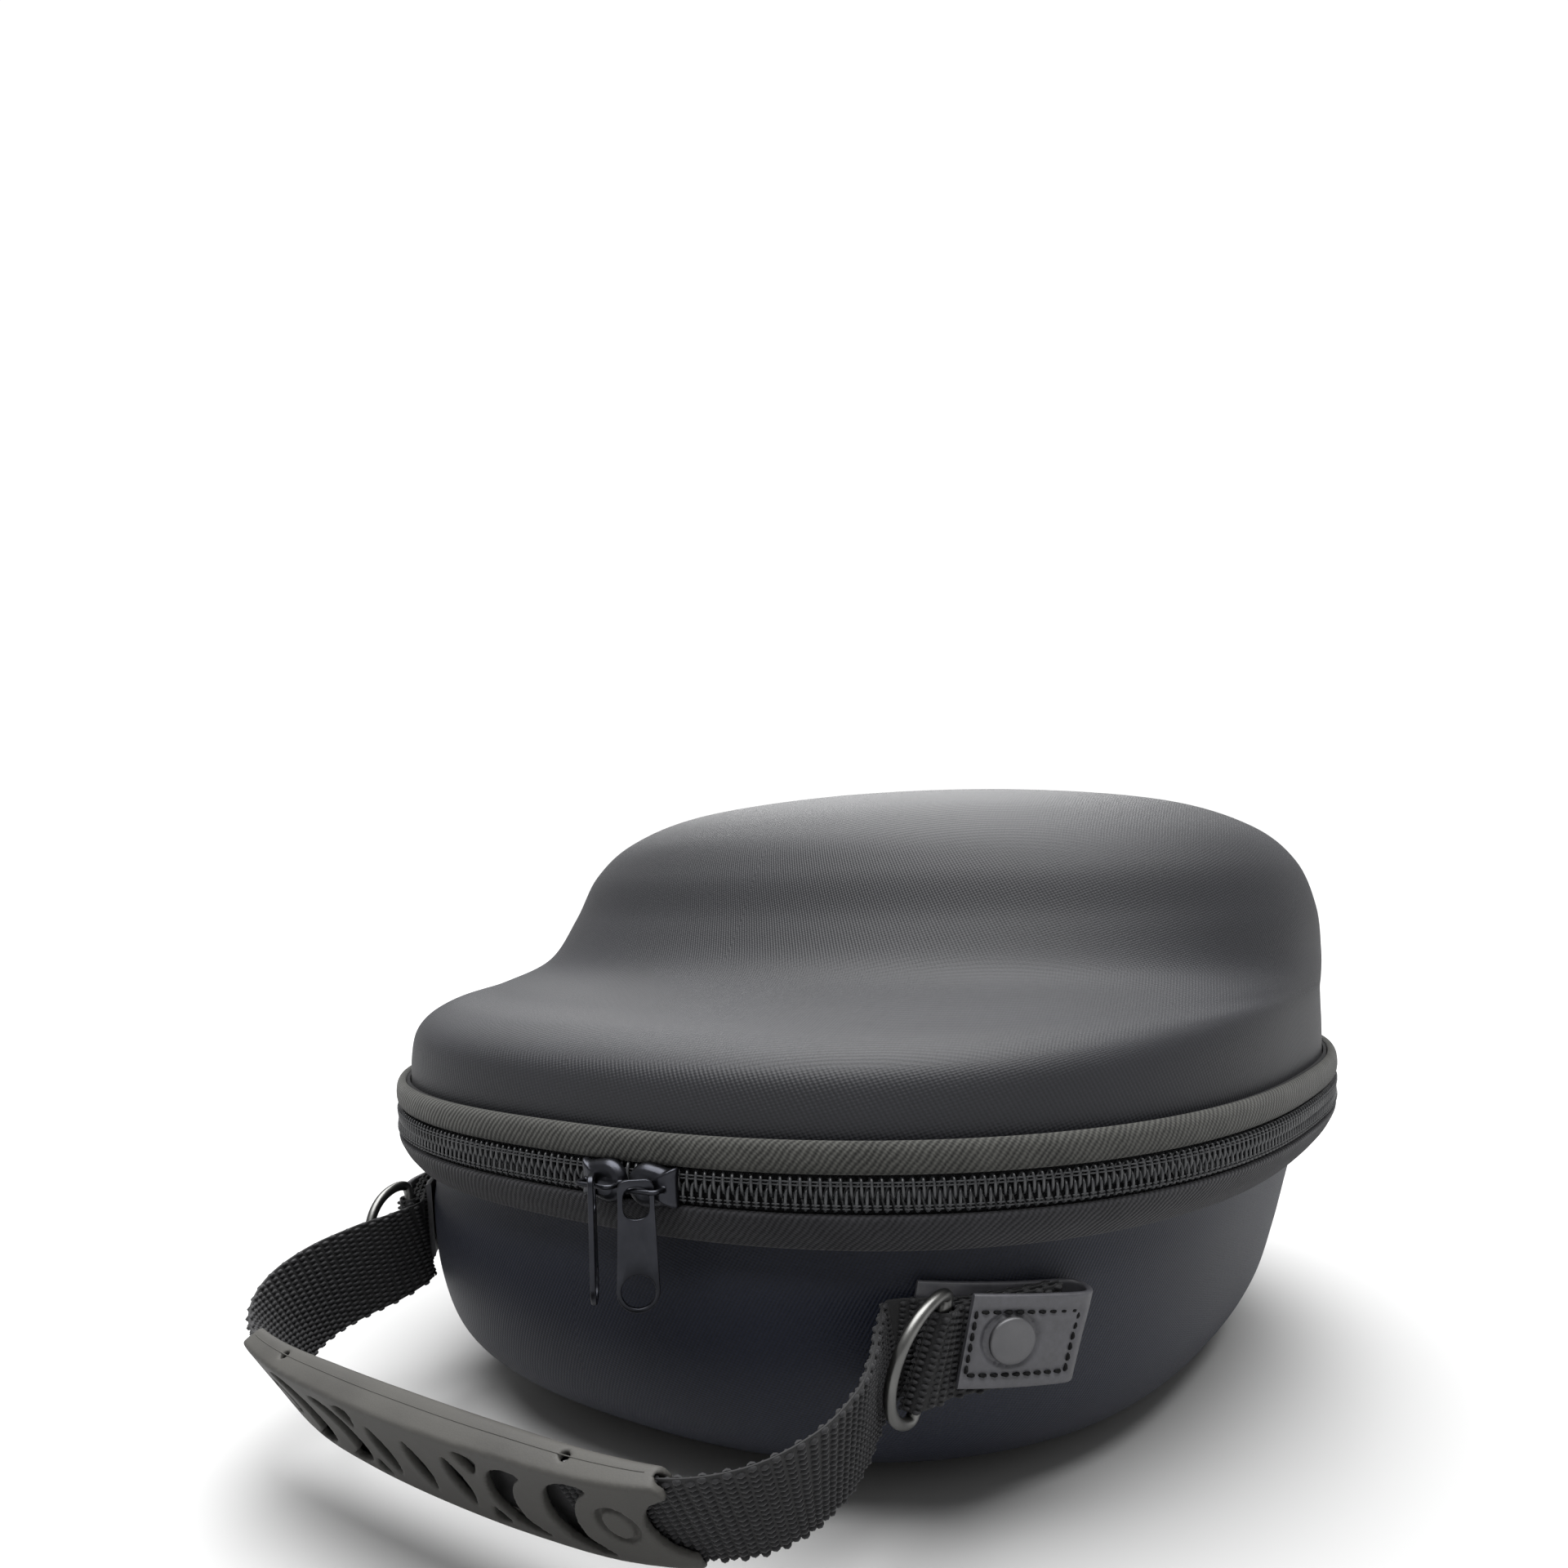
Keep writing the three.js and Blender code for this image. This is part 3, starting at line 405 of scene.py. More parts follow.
def rim_strip(outline, start=0, stop=360, radius=TAPE_ROUND):
    """A strip of one outline along the zip oval between two angles in degrees, or all round it."""
    whole = stop - start == 360
    count = round((stop - start) / 360 * AROUND)
    angles = np.radians(np.linspace(start, stop, count + 1))
    at, _, out = rim_frames(angles)
    ring = rounded(outline, radius)
    points = at[:, None] + ring[None, :, :1] * out[:, None] + ring[None, :, 1:] * np.array([0, 0, 1])
    u = lengths(at)
    v = lengths(np.concatenate([ring, ring[:1]]))
    if whole:
        return grid(points[:-1], u=u, v=v, wrap_rows=True, wrap_cols=True)
    return grid(points, u=u, v=v, wrap_cols=True, caps=True)


# Places on the bowl wall beside a tab
FINE_ROWS = 141
BOWL_FINE = blend_rows(BOWL_SECTIONS, np.linspace(0, 1, FINE_ROWS))


def bowl_points(angles, z):
    """Points of the bowl's outer skin at angles from the bill and heights above the ground."""
    rows = np.stack([np.interp(z - ZIP_RISE, BOWL_FINE[:, 0], column) for column in BOWL_FINE.T], -1)
    return oval_points(rows, angles)


WALL_STEP = 0.01
TAB_ANGLE = math.radians(TAB["angle"])
WALL_RADIUS = np.linalg.norm(
    bowl_points(np.array([TAB_ANGLE + WALL_STEP]), np.array([TAB["rise"]]))
    - bowl_points(np.array([TAB_ANGLE]), np.array([TAB["rise"]]))
) / WALL_STEP


def wall_frames(side, arcs):
    """Points on the wall at arcs from the tab's middle, with the directions along, up and out."""
    c, s = math.cos(math.radians(TAB["tilt"])), math.sin(math.radians(TAB["tilt"]))
    arcs = np.asarray(arcs, float)
    angles = TAB_ANGLE + arcs * c / WALL_RADIUS
    z = TAB["rise"] - arcs * s
    level = unit(bowl_points(angles + WALL_STEP, z) - bowl_points(angles - WALL_STEP, z))
    slope = unit(bowl_points(angles, z + 1) - bowl_points(angles, z - 1))
    out = unit(np.cross(level, slope))
    along = level * c - slope * s
    flip = np.array([side, 1, 1])
    return tuple(flip * v for v in (bowl_points(angles, z), along, np.cross(out, along), out))


def wall_points(side, arcs, heights, lifts):
    """Points beside a tab's middle line: arc along it, height across it, lift off the wall."""
    at, _, up, out = wall_frames(side, arcs)
    return at + np.asarray(heights)[..., None] * up + np.asarray(lifts)[..., None] * out


def strip_section(half, thick, radius, spacing):
    """Closed section of a flat strip with round edges: across, and off its middle."""
    face = level_run(radius - half, half - radius, thick / 2, count=int(2 * half / spacing))
    bend = arc_points([0, 0], 1, 90, -90, steps=6)[1:-1]
    edge = np.stack([half - radius + radius * bend[:, 0], thick / 2 * bend[:, 1]], -1)
    return np.concatenate([face, edge, -face, -edge])


def path_normals(path):
    """Directions to the left of a flat path."""
    turn = unit(np.gradient(path, axis=0))
    return np.stack([-turn[:, 1], turn[:, 0]], -1)


def swept(place, stations, section):
    """A strip whose section of [across, off] is carried along its stations by a place function."""
    run, across = np.meshgrid(stations, section[:, 0], indexing="ij")
    points = place(run, across, 0 * run + section[:, 1])
    v = lengths(np.concatenate([section, section[:1]]))
    return grid(points, u=stations, v=v, wrap_cols=True, caps=True)


def wall_path(side, path, drop=0, skew=None, relief=None):
    """The place function of a strip that follows a path of [arc, lift] over the wall, and its length.
    It turns run along the strip, across it and off it into points; skew moves it with height, and
    relief lifts it."""
    path = np.asarray(path, float)
    total = lengths(path)
    normals = path_normals(path)

    def place(run, across, off):
        arc, lift, lean, rise = (np.interp(run, total, k) for k in (*path.T, *normals.T))
        arcs = arc + lean * off
        lifts = lift + rise * off
        if skew:
            arcs = arcs + skew(arc, across)
        if relief:
            lifts = lifts + relief(arcs, across, lift)
        return wall_points(side, arcs, across + drop * arcs, lifts)

    return place, total[-1]


# Handle line
def centripetal(points, samples):
    """A centripetal Catmull-Rom curve through the points."""
    ends = np.concatenate([[2 * points[0] - points[1]], points, [2 * points[-1] - points[-2]]])
    curve = []
    for a, b, c, d in zip(ends, ends[1:], ends[2:], ends[3:]):
        ta, tb, tc = (np.sqrt(np.linalg.norm(q - p)) for p, q in ((a, b), (b, c), (c, d)))
        start = ((b - a) / ta - (c - a) / (ta + tb) + (c - b) / tb) * tb
        end = ((c - b) / tb - (d - b) / (tb + tc) + (d - c) / tc) * tb
        t = np.linspace(0, 1, samples, endpoint=False)[:, None]
        curve.append(b + t * (start + t * (3 * (c - b) - 2 * start - end + t * (2 * (b - c) + start + end))))
    return np.concatenate([*curve, points[-1:]])


def closed_curve(points, samples):
    """A smooth closed curve through the points."""
    points = np.asarray(points, float)
    return centripetal(np.concatenate([points[-2:], points, points[:2]]), samples)[2 * samples:-samples - 1]


def strap_on_wall(side, arcs):
    """Points of the strap where it lies along the wall in a tab."""
    return wall_points(side, arcs, WEBBING["drop"] * arcs, WEBBING["lift"])


RIGHT_LINE = np.concatenate([
    HANDLE_ROUTE * [1, -1, 1],
    strap_on_wall(1, np.array([WEBBING["leaves"], WEBBING["leaves"] + STRAP_LEAD])),
])
HANDLE_LINE = centripetal(np.concatenate([RIGHT_LINE[:0:-1] * [-1, 1, 1], RIGHT_LINE]), samples=60)
HANDLE_RUN = lengths(HANDLE_LINE)
HANDLE_LENGTH = HANDLE_RUN[-1]
FREE_END = STRAP_LEAD / HANDLE_LENGTH


def tab_lean():
    """How far the strap leans out where it leaves the right tab."""
    _, along, up, _ = (v[0] for v in wall_frames(1, [WEBBING["leaves"]]))
    level = unit(along * [1, 1, 0])
    return math.asin(up @ np.cross(level, [0, 0, 1]))


def handle_frames(u):
    """Points of the handle at u from 0 to 1, with the directions across its width and off its face."""
    def place(share):
        return np.stack([np.interp(share * HANDLE_LENGTH, HANDLE_RUN, k) for k in HANDLE_LINE.T], -1)

    u = np.asarray(u, float)
    step = 2e-3
    along = unit(place(np.minimum(u + step, 1)) - place(np.maximum(u - step, 0)))
    out = np.cross(unit(along * [1, 1, 0]), [0, 0, 1])
    near = ease((np.minimum(u, 1 - u) - FREE_END) / (LEAN_SETTLES - FREE_END))
    lean = (tab_lean() + (math.radians(GRIP_LEAN) - tab_lean()) * near)[..., None]
    wide = np.cos(lean) * [0, 0, 1] + np.sin(lean) * out
    wide = unit(wide - along * (wide * along).sum(-1, keepdims=True))
    return place(u), wide, unit(np.cross(along, wide))


def handle_points(u, across, off):
    """Points beside the handle's middle line."""
    at, wide, thick = handle_frames(u)
    return at + np.asarray(across)[..., None] * wide + np.asarray(off)[..., None] * thick


# Node trees
def add(tree, kind, inputs=(), out=0, **settings):
    """Adds a node: inputs are values or sockets to link from, out is the output handed back or, where it
    is None, the node itself."""
    node = tree.nodes.new(kind)
    for key, value in settings.items():
        setattr(node, key, value)
    for key, value in dict(inputs).items():
        if isinstance(value, bpy.types.NodeSocket):
            tree.links.new(value, node.inputs[key])
        else:
            node.inputs[key].default_value = value
    return node if out is None else node.outputs[out]


def linear(code):
    """An sRGB hex colour as linear red, green, blue, alpha."""
    parts = [int(code[k:k + 2], 16) / 255 for k in (1, 3, 5)]
    return (*(p / 12.92 if p <= 0.04045 else ((p + 0.055) / 1.055) ** 2.4 for p in parts), 1)


def surface(name, **values):
    """A new material with constants on its shader's own sockets, its tree and its shader's inputs."""
    material = bpy.data.materials.new(name)
    material.use_nodes = True
    inputs = material.node_tree.nodes["Principled BSDF"].inputs
    for key, value in values.items():
        inputs[key.replace("_", " ").title().replace("Ior", "IOR")].default_value = value
    return material, material.node_tree, inputs


def wave(pitch):
    """Scale of a band wave whose bands are pitch mm apart, on coordinates in metres."""
    return 2 * math.pi / (20 * pitch * MM)


def grain(size):
    """Scale of a noise whose blotches are about size mm wide, on coordinates in metres."""
    return 1 / (size * MM)


# Range in which a pattern's values mostly lie, for colours and for roughness
TONE_RANGE = {"From Min": 0.25, "From Max": 0.75}
WEAR_RANGE = {"From Min": 0.3, "From Max": 0.7}
# Slants in degrees of the knit's ribs and loops, and of the twill's ribs and threads
KNIT_RIBS, KNIT_LOOPS = 62, -16
TWILL_RIBS, TWILL_THREADS = -38, 52


# The mix node's sockets go by number: 0 factor, 2 and 3 numbers, 6 and 7 colours, 2 the colour handed back
def finish(tree, shader, tone, dark, light, height=None, depth=0):
    """Colours a surface between two hex colours by its tone, and gives it relief of a depth in mm."""
    share = add(tree, "ShaderNodeMapRange", {"Value": tone, **TONE_RANGE})
    colour = {0: share, 6: linear(dark), 7: linear(light)}
    tree.links.new(add(tree, "ShaderNodeMix", colour, 2, data_type="RGBA"), shader["Base Color"])
    if height:
        bump = add(tree, "ShaderNodeBump", {"Height": height, "Distance": depth * MM})
        tree.links.new(bump, shader["Normal"])


def jersey(name, dark, light, pitch):
    """Fine jersey knit, heat-moulded over foam: slanting rows of stitches, matte, with a soft fibre sheen.
    The rows are drawn a little coarser than the real 0.5 mm, so that they show."""
    material, tree, shader = surface(
        name, roughness=0.6, sheen_weight=0.02, sheen_roughness=0.4, specular_ior_level=0.4)
    place = add(tree, "ShaderNodeTexCoord", out=None).outputs
    top = add(tree, "ShaderNodeAttribute", out="Fac", attribute_name="top")
    rows = []
    for cloth in (place["UV"], place["Object"]):
        slant = {"Vector": cloth, "Rotation": (0, 0, math.radians(KNIT_RIBS))}
        slant = add(tree, "ShaderNodeMapping", slant)
        across = {"Vector": cloth, "Rotation": (0, 0, math.radians(KNIT_LOOPS))}
        across = add(tree, "ShaderNodeMapping", across)
        rib = {"Vector": slant, "Scale": wave(pitch), "Distortion": 1.1, "Detail Scale": 0.4}
        loop = {"Vector": across, "Scale": wave(0.75 * pitch), "Distortion": 1.4, "Detail Scale": 0.4}
        ribs = add(tree, "ShaderNodeTexWave", rib, "Fac")
        loops = add(tree, "ShaderNodeTexWave", loop, "Fac")
        rows.append(add(tree, "ShaderNodeMix", {0: 0.3, 2: ribs, 3: loops}))
    stitches = add(tree, "ShaderNodeMix", {0: top, 2: rows[0], 3: rows[1]})
    fibre = {"Vector": place["Object"], "Scale": grain(0.45), "Detail": 3}
    fibre = add(tree, "ShaderNodeTexNoise", fibre, "Fac")
    cloud = {"Vector": place["Object"], "Scale": grain(35), "Detail": 2}
    cloud = add(tree, "ShaderNodeTexNoise", cloud, "Fac")
    knit = add(tree, "ShaderNodeMix", {0: 0.45, 2: stitches, 3: fibre})
    tone = add(tree, "ShaderNodeMix", {0: 0.3, 2: knit, 3: cloud})
    finish(tree, shader, tone, dark, light, knit, 0.16)
    return material


def twill(name, dark, light, pitch):
    """Polyester twill tape: steep diagonal ribs with a finer thread across them, dry and matte."""
    material, tree, shader = surface(name, roughness=0.9, sheen_weight=0.08, specular_ior_level=0.25)
    place = add(tree, "ShaderNodeTexCoord", out=None).outputs
    slant = {"Vector": place["UV"], "Rotation": (0, 0, math.radians(TWILL_RIBS))}
    slant = add(tree, "ShaderNodeMapping", slant)
    across = {"Vector": place["UV"], "Rotation": (0, 0, math.radians(TWILL_THREADS))}
    across = add(tree, "ShaderNodeMapping", across)
    rib = {"Vector": slant, "Scale": wave(pitch), "Distortion": 3, "Detail Scale": 0.9}
    thread = {"Vector": across, "Scale": wave(0.55 * pitch), "Distortion": 3}
    ribs = add(tree, "ShaderNodeTexWave", rib, "Fac")
    threads = add(tree, "ShaderNodeTexWave", thread, "Fac")
    fibre = {"Vector": place["Object"], "Scale": grain(0.5), "Detail": 3}
    fibre = add(tree, "ShaderNodeTexNoise", fibre, "Fac")
    patch = {"Vector": place["Object"], "Scale": grain(9), "Detail": 3}
    patch = add(tree, "ShaderNodeTexNoise", patch, "Fac")
    cloth = add(tree, "ShaderNodeMix", {0: 0.25, 2: ribs, 3: threads})
    tone = add(tree, "ShaderNodeMix", {0: 0.4, 2: cloth, 3: fibre})
    tone = add(tree, "ShaderNodeMix", {0: 0.25, 2: tone, 3: patch})
    finish(tree, shader, tone, dark, light, cloth, 0.2)
    return material


def nylon_yarn(name, dark, light):
    """Nylon webbing yarn: bundles of fine filament, dull with a slight satin edge."""
    material, tree, shader = surface(name, roughness=0.66, sheen_weight=0.08, specular_ior_level=0.35)
    place = add(tree, "ShaderNodeTexCoord", out="Object")
    filament = add(tree, "ShaderNodeTexNoise", {"Vector": place, "Scale": grain(0.25), "Detail": 3}, "Fac")
    patch = add(tree, "ShaderNodeTexNoise", {"Vector": place, "Scale": grain(2.5), "Detail": 2}, "Fac")
    tone = add(tree, "ShaderNodeMix", {0: 0.5, 2: patch, 3: filament})
    finish(tree, shader, tone, dark, light, filament, 0.05)
    return material


def coil_nylon(name, dark, worn):
    """Extruded nylon monofilament: smooth and semi-gloss, a little paler and duller where it rubs."""
    material, tree, shader = surface(name, specular_ior_level=0.5)
    place = add(tree, "ShaderNodeTexCoord", out="Object")
    rub = add(tree, "ShaderNodeTexNoise", {"Vector": place, "Scale": grain(6), "Detail": 3}, "Fac")
    gloss = {"Value": rub, **WEAR_RANGE, "To Min": 0.2, "To Max": 0.34}
    tree.links.new(add(tree, "ShaderNodeMapRange", gloss), shader["Roughness"])
    finish(tree, shader, rub, dark, worn)
    return material


def plated_metal(name, dark, rubbed, rough):
    """Black-nickel plate on zinc and wire: a smooth dark mirror, hazed by handling, paler where thin."""
    material, tree, shader = surface(name, metallic=1.0)
    place = add(tree, "ShaderNodeTexCoord", out="Object")
    haze = add(tree, "ShaderNodeTexNoise", {"Vector": place, "Scale": grain(7), "Detail": 3}, "Fac")
    scuff = add(tree, "ShaderNodeTexNoise", {"Vector": place, "Scale": grain(0.5), "Detail": 2}, "Fac")
    wear = add(tree, "ShaderNodeMix", {0: 0.3, 2: haze, 3: scuff})
    spread = {"Value": wear, **WEAR_RANGE, "To Min": rough, "To Max": rough + 0.1}
    tree.links.new(add(tree, "ShaderNodeMapRange", spread), shader["Roughness"])
    finish(tree, shader, haze, dark, rubbed)
    return material


def leather(name, dark, light):
    """Coated split leather: shallow pebbled grain of about 0.8 mm, soft creases, a low satin coat."""
    material, tree, shader = surface(name, specular_ior_level=0.5)
    place = add(tree, "ShaderNodeTexCoord", out="Object")
    pebble = {"Vector": place, "Scale": grain(0.8)}
    pebble = add(tree, "ShaderNodeTexVoronoi", pebble, "Distance", feature="SMOOTH_F1")
    crease = add(tree, "ShaderNodeTexNoise", {"Vector": place, "Scale": grain(5), "Detail": 5}, "Fac")
    fleck = add(tree, "ShaderNodeTexNoise", {"Vector": place, "Scale": grain(1.2), "Detail": 3}, "Fac")
    tone = add(tree, "ShaderNodeMix", {0: 0.5, 2: crease, 3: fleck})
    coat = {"Value": crease, **WEAR_RANGE, "To Min": 0.4, "To Max": 0.54}
    tree.links.new(add(tree, "ShaderNodeMapRange", coat), shader["Roughness"])
    skin = add(tree, "ShaderNodeMix", {0: 0.6, 2: pebble, 3: crease})
    finish(tree, shader, tone, dark, light, skin, 0.08)
    return material


def bonded_thread(name, dark, light):
    """Bonded polyester thread: black and waxy, with the twist of its strands."""
    material, tree, shader = surface(name, roughness=0.7, specular_ior_level=0.15)
    place = add(tree, "ShaderNodeTexCoord", out="Object")
    slant = add(tree, "ShaderNodeMapping", {"Vector": place, "Rotation": (0.6, 0.4, 0.7)})
    twist = add(tree, "ShaderNodeTexWave", {"Vector": slant, "Scale": wave(0.5)}, "Fac")
    finish(tree, shader, twist, dark, light, twist, 0.05)
    return material


def moulded_rubber(name, dark, light):
    """Moulded thermoplastic rubber: matte spark-eroded skin of about 0.35 mm grit, with a dusty bloom."""
    material, tree, shader = surface(name, specular_ior_level=0.35)
    place = add(tree, "ShaderNodeTexCoord", out="Object")
    grit = add(tree, "ShaderNodeTexNoise", {"Vector": place, "Scale": grain(0.35), "Detail": 2}, "Fac")
    bloom = add(tree, "ShaderNodeTexNoise", {"Vector": place, "Scale": grain(14), "Detail": 4}, "Fac")
    tone = add(tree, "ShaderNodeMix", {0: 0.3, 2: bloom, 3: grit})
    dust = {"Value": bloom, **WEAR_RANGE, "To Min": 0.56, "To Max": 0.72}
    tree.links.new(add(tree, "ShaderNodeMapRange", dust), shader["Roughness"])
    finish(tree, shader, tone, dark, light, grit, 0.02)
    return material


LID_CLOTH = jersey("charcoal_jersey_on_foam", "#0a0b0f", "#1a1b21", 0.95)
BOWL_CLOTH = jersey("blue_black_jersey_on_foam", "#01040f", "#071026", 0.85)
TAPE = twill("grey_twill_tape", "#1b1b1a", "#474744", 1.3)
LOWER_TAPE_CLOTH = twill("dark_grey_twill_tape", "#131316", "#323235", 1.25)
ZIP_CLOTH = twill("black_zip_tape", "#0c0c0e", "#1b1b1d", 0.9)
WEB = nylon_yarn("black_nylon_webbing", "#101012", "#1d1d20")
# The core is coloured darker than the yarn on it: painted shade in the gaps between the floats.
SHADED_WEB_CORE = nylon_yarn("black_webbing_core_painted_shade", "#060608", "#0f0f11")
COIL_WIRE = coil_nylon("black_nylon_coil", "#252628", "#3c3d3f")
COIL_THREAD = nylon_yarn("grey_coil_thread", "#1e1f21", "#333436")
METAL = plated_metal("black_nickel_plate", "#2c2d31", "#3c3d42", 0.3)
RING_METAL = plated_metal("gunmetal_wire", "#5c5c5b", "#747472", 0.3)
CAP_METAL = plated_metal("satin_rivet_cap", "#5c5c5e", "#6a6a6c", 0.5)
HIDE = leather("dark_grey_coated_leather", "#3a3a3d", "#4c4c51")
THREAD = bonded_thread("black_bonded_thread", "#040405", "#0c0c0d")
RUBBER = moulded_rubber("warm_grey_moulded_rubber", "#32312f", "#41403d")


# Geometry node trees
def new_tree(name, sockets):
    """A geometry node tree with named inputs, and what they give."""
    tree = bpy.data.node_groups.new(name, "GeometryNodeTree")
    for label, kind in sockets:
        tree.interface.new_socket(label, in_out="INPUT", socket_type="NodeSocket" + kind)
    tree.interface.new_socket("Mesh", in_out="OUTPUT", socket_type="NodeSocketGeometry")
    return tree, add(tree, "NodeGroupInput", out=None).outputs


def close_tree(tree, geometry, material):
    """Ends a tree with real geometry in its material."""
    real = add(tree, "GeometryNodeRealizeInstances", {"Geometry": geometry})
    finished = add(tree, "GeometryNodeSetMaterial", {"Geometry": real, "Material": material})
    add(tree, "NodeGroupOutput", {"Mesh": finished}, None)
    return tree


def lay_tree():
    """One small shape laid on every point: its length along the point's run, its top outwards."""
    tree, given = new_tree("lay_along", (
        ("Points", "Geometry"), ("Shape", "Object"), ("Length", "Float"), ("Width", "Float"),
        ("Height", "Float"), ("Uneven", "Float"), ("Seed", "Int"), ("Material", "Material")))
    named = "GeometryNodeInputNamedAttribute"
    align = "FunctionNodeAlignRotationToVector"
    along = add(tree, named, {"Name": "along"}, data_type="FLOAT_VECTOR")
    out = add(tree, named, {"Name": "out"}, data_type="FLOAT_VECTOR")
    turn = add(tree, align, {"Vector": along}, axis="X")
    turn = add(tree, align, {"Rotation": turn, "Vector": out}, axis="Z", pivot_axis="X")
    low = add(tree, "ShaderNodeMath", {0: 1.0, 1: given["Uneven"]}, operation="SUBTRACT")
    vary = add(tree, "FunctionNodeRandomValue", {2: low, 3: 1.0, "Seed": given["Seed"]}, 1, data_type="FLOAT")
    size = add(tree, "ShaderNodeCombineXYZ", {0: given["Length"], 1: given["Width"], 2: given["Height"]})
    size = add(tree, "ShaderNodeVectorMath", {0: size, "Scale": vary}, operation="SCALE")
    shape = add(tree, "GeometryNodeObjectInfo", {"Object": given["Shape"]}, "Geometry")
    laid_out = {"Points": given["Points"], "Instance": shape, "Rotation": turn, "Scale": size}
    return close_tree(tree, add(tree, "GeometryNodeInstanceOnPoints", laid_out), given["Material"])


def coil_tree():
    """A wound monofilament that follows a path: its turns stand on one side of the path, upright in front."""
    tree, given = new_tree("wound_coil", (
        ("Path", "Geometry"), ("Turns", "Int"), ("Steps", "Int"), ("Sides", "Int"), ("Phase", "Float"),
        ("Side", "Float"), ("Upright", "Float"), ("Middle", "Float"), ("Span", "Float"), ("Depth", "Float"),
        ("Out", "Float"), ("Wire", "Float"), ("Part at", "Float"), ("Part width", "Float"),
        ("Part rise", "Float"), ("Part out", "Float"), ("Material", "Material")))
    maths, vectors = "ShaderNodeMath", "ShaderNodeVectorMath"
    count = add(tree, maths, {0: given["Turns"], 1: given["Steps"]}, operation="MULTIPLY")
    line = add(tree, "GeometryNodeMeshLine", {"Count": count})
    wound = add(tree, "GeometryNodeMeshToCurve", {"Mesh": line})
    index = add(tree, "GeometryNodeInputIndex")
    turn = add(tree, maths, {0: index, 1: given["Steps"]}, operation="DIVIDE")
    angle = add(tree, maths, {0: turn, 1: given["Phase"]}, operation="ADD")
    angle = add(tree, maths, {0: angle, 1: 2 * math.pi}, operation="MULTIPLY")
    high = add(tree, maths, {0: angle}, operation="COSINE")
    front = add(tree, maths, {0: angle}, operation="SINE")
    reach = add(tree, maths, {0: high, 1: given["Upright"], 2: turn}, operation="MULTIPLY_ADD")
    factor = add(tree, maths, {0: reach, 1: given["Turns"]}, operation="DIVIDE")
    path = {"Curves": given["Path"], "Factor": factor}
    path = add(tree, "GeometryNodeSampleCurve", path, None, mode="FACTOR").outputs
    outward = add(tree, vectors, {0: path["Tangent"], 1: (0, 0, 1)}, operation="CROSS_PRODUCT")
    apart = add(tree, maths, {0: factor, 1: given["Part at"]}, operation="SUBTRACT")
    apart = add(tree, maths, {0: apart, 1: given["Part width"]}, operation="DIVIDE")
    apart = add(tree, maths, {0: apart, 1: 2.0}, operation="POWER")
    apart = add(tree, maths, {0: apart, 1: -1.0}, operation="MULTIPLY")
    swell = add(tree, maths, {0: apart}, operation="EXPONENT")
    rise = add(tree, maths, {0: high, 1: given["Span"], 2: given["Middle"]}, operation="MULTIPLY_ADD")
    rise = add(tree, maths, {0: rise, 1: given["Side"]}, operation="MULTIPLY")
    rise = add(tree, maths, {0: swell, 1: given["Part rise"], 2: rise}, operation="MULTIPLY_ADD")
    off = add(tree, maths, {0: front, 1: given["Depth"], 2: given["Out"]}, operation="MULTIPLY_ADD")
    off = add(tree, maths, {0: swell, 1: given["Part out"], 2: off}, operation="MULTIPLY_ADD")
    spot = add(tree, vectors, {0: outward, "Scale": off}, operation="SCALE")
    spot = add(tree, vectors, {0: path["Position"], 1: spot}, operation="ADD")
    upward = add(tree, "ShaderNodeCombineXYZ", {2: rise})
    spot = add(tree, vectors, {0: spot, 1: upward}, operation="ADD")
    wound = add(tree, "GeometryNodeSetPosition", {"Geometry": wound, "Position": spot})
    ring = {"Resolution": given["Sides"], "Radius": given["Wire"]}
    ring = add(tree, "GeometryNodeCurvePrimitiveCircle", ring, mode="RADIUS")
    tube = add(tree, "GeometryNodeCurveToMesh", {"Curve": wound, "Profile Curve": ring, "Fill Caps": True})
    return close_tree(tree, tube, given["Material"])


def grown(name, source, tree, values):
    """What a node tree makes of a source object, as a plain mesh object."""
    modifier = source.modifiers.new("nodes", "NODES")
    modifier.node_group = tree
    for socket in tree.interface.items_tree:
        if socket.in_out == "INPUT" and socket.name in values:
            modifier[socket.identifier] = values[socket.name]
    mesh = made_mesh(source)
    bpy.data.objects.remove(source)
    return shaded(linked(name, mesh), sharp=70)


LAY = lay_tree()
WIND = coil_tree()


def point_cloud(points, along, out):
    """Loose points that know their directions along and out."""
    mesh = bpy.data.meshes.new("points")
    mesh.from_pydata((np.asarray(points) * MM).tolist(), [], [])
    for name, vectors in (("along", along), ("out", out)):
        values = np.asarray(vectors, float).ravel()
        mesh.attributes.new(name, "FLOAT_VECTOR", "POINT").data.foreach_set("vector", values)
    return linked("points", mesh)


# Half of a flattened pill, 1 m long, wide and tall: place along, half-width and height of its sections
PILL_SECTIONS = [[-0.5, 0.02, 0], [-0.36, 0.36, 0.62], [0, 0.5, 1], [0.36, 0.36, 0.62], [0.5, 0.02, 0]]
# Share of a section's width that its top takes
PILL_TOP = 0.55
PILL = np.array([
    [[x, -w, 0], [x, -PILL_TOP * w, h], [x, PILL_TOP * w, h], [x, w, 0]] for x, w, h in PILL_SECTIONS
])
PILL = mesh_object("pill", grid(PILL / MM, wrap_cols=True, caps=True), sharp=80)


def laid(name, points, along, out, size, material, uneven, seed):
    """Pills of one size (length, width, height in mm) on the points: yarn floats or stitches."""
    values = {"Shape": PILL, "Uneven": uneven, "Seed": seed, "Material": material}
    for label, length in zip(("Length", "Width", "Height"), size):
        values[label] = length * MM
    return grown(name, point_cloud(points, along, out), LAY, values)


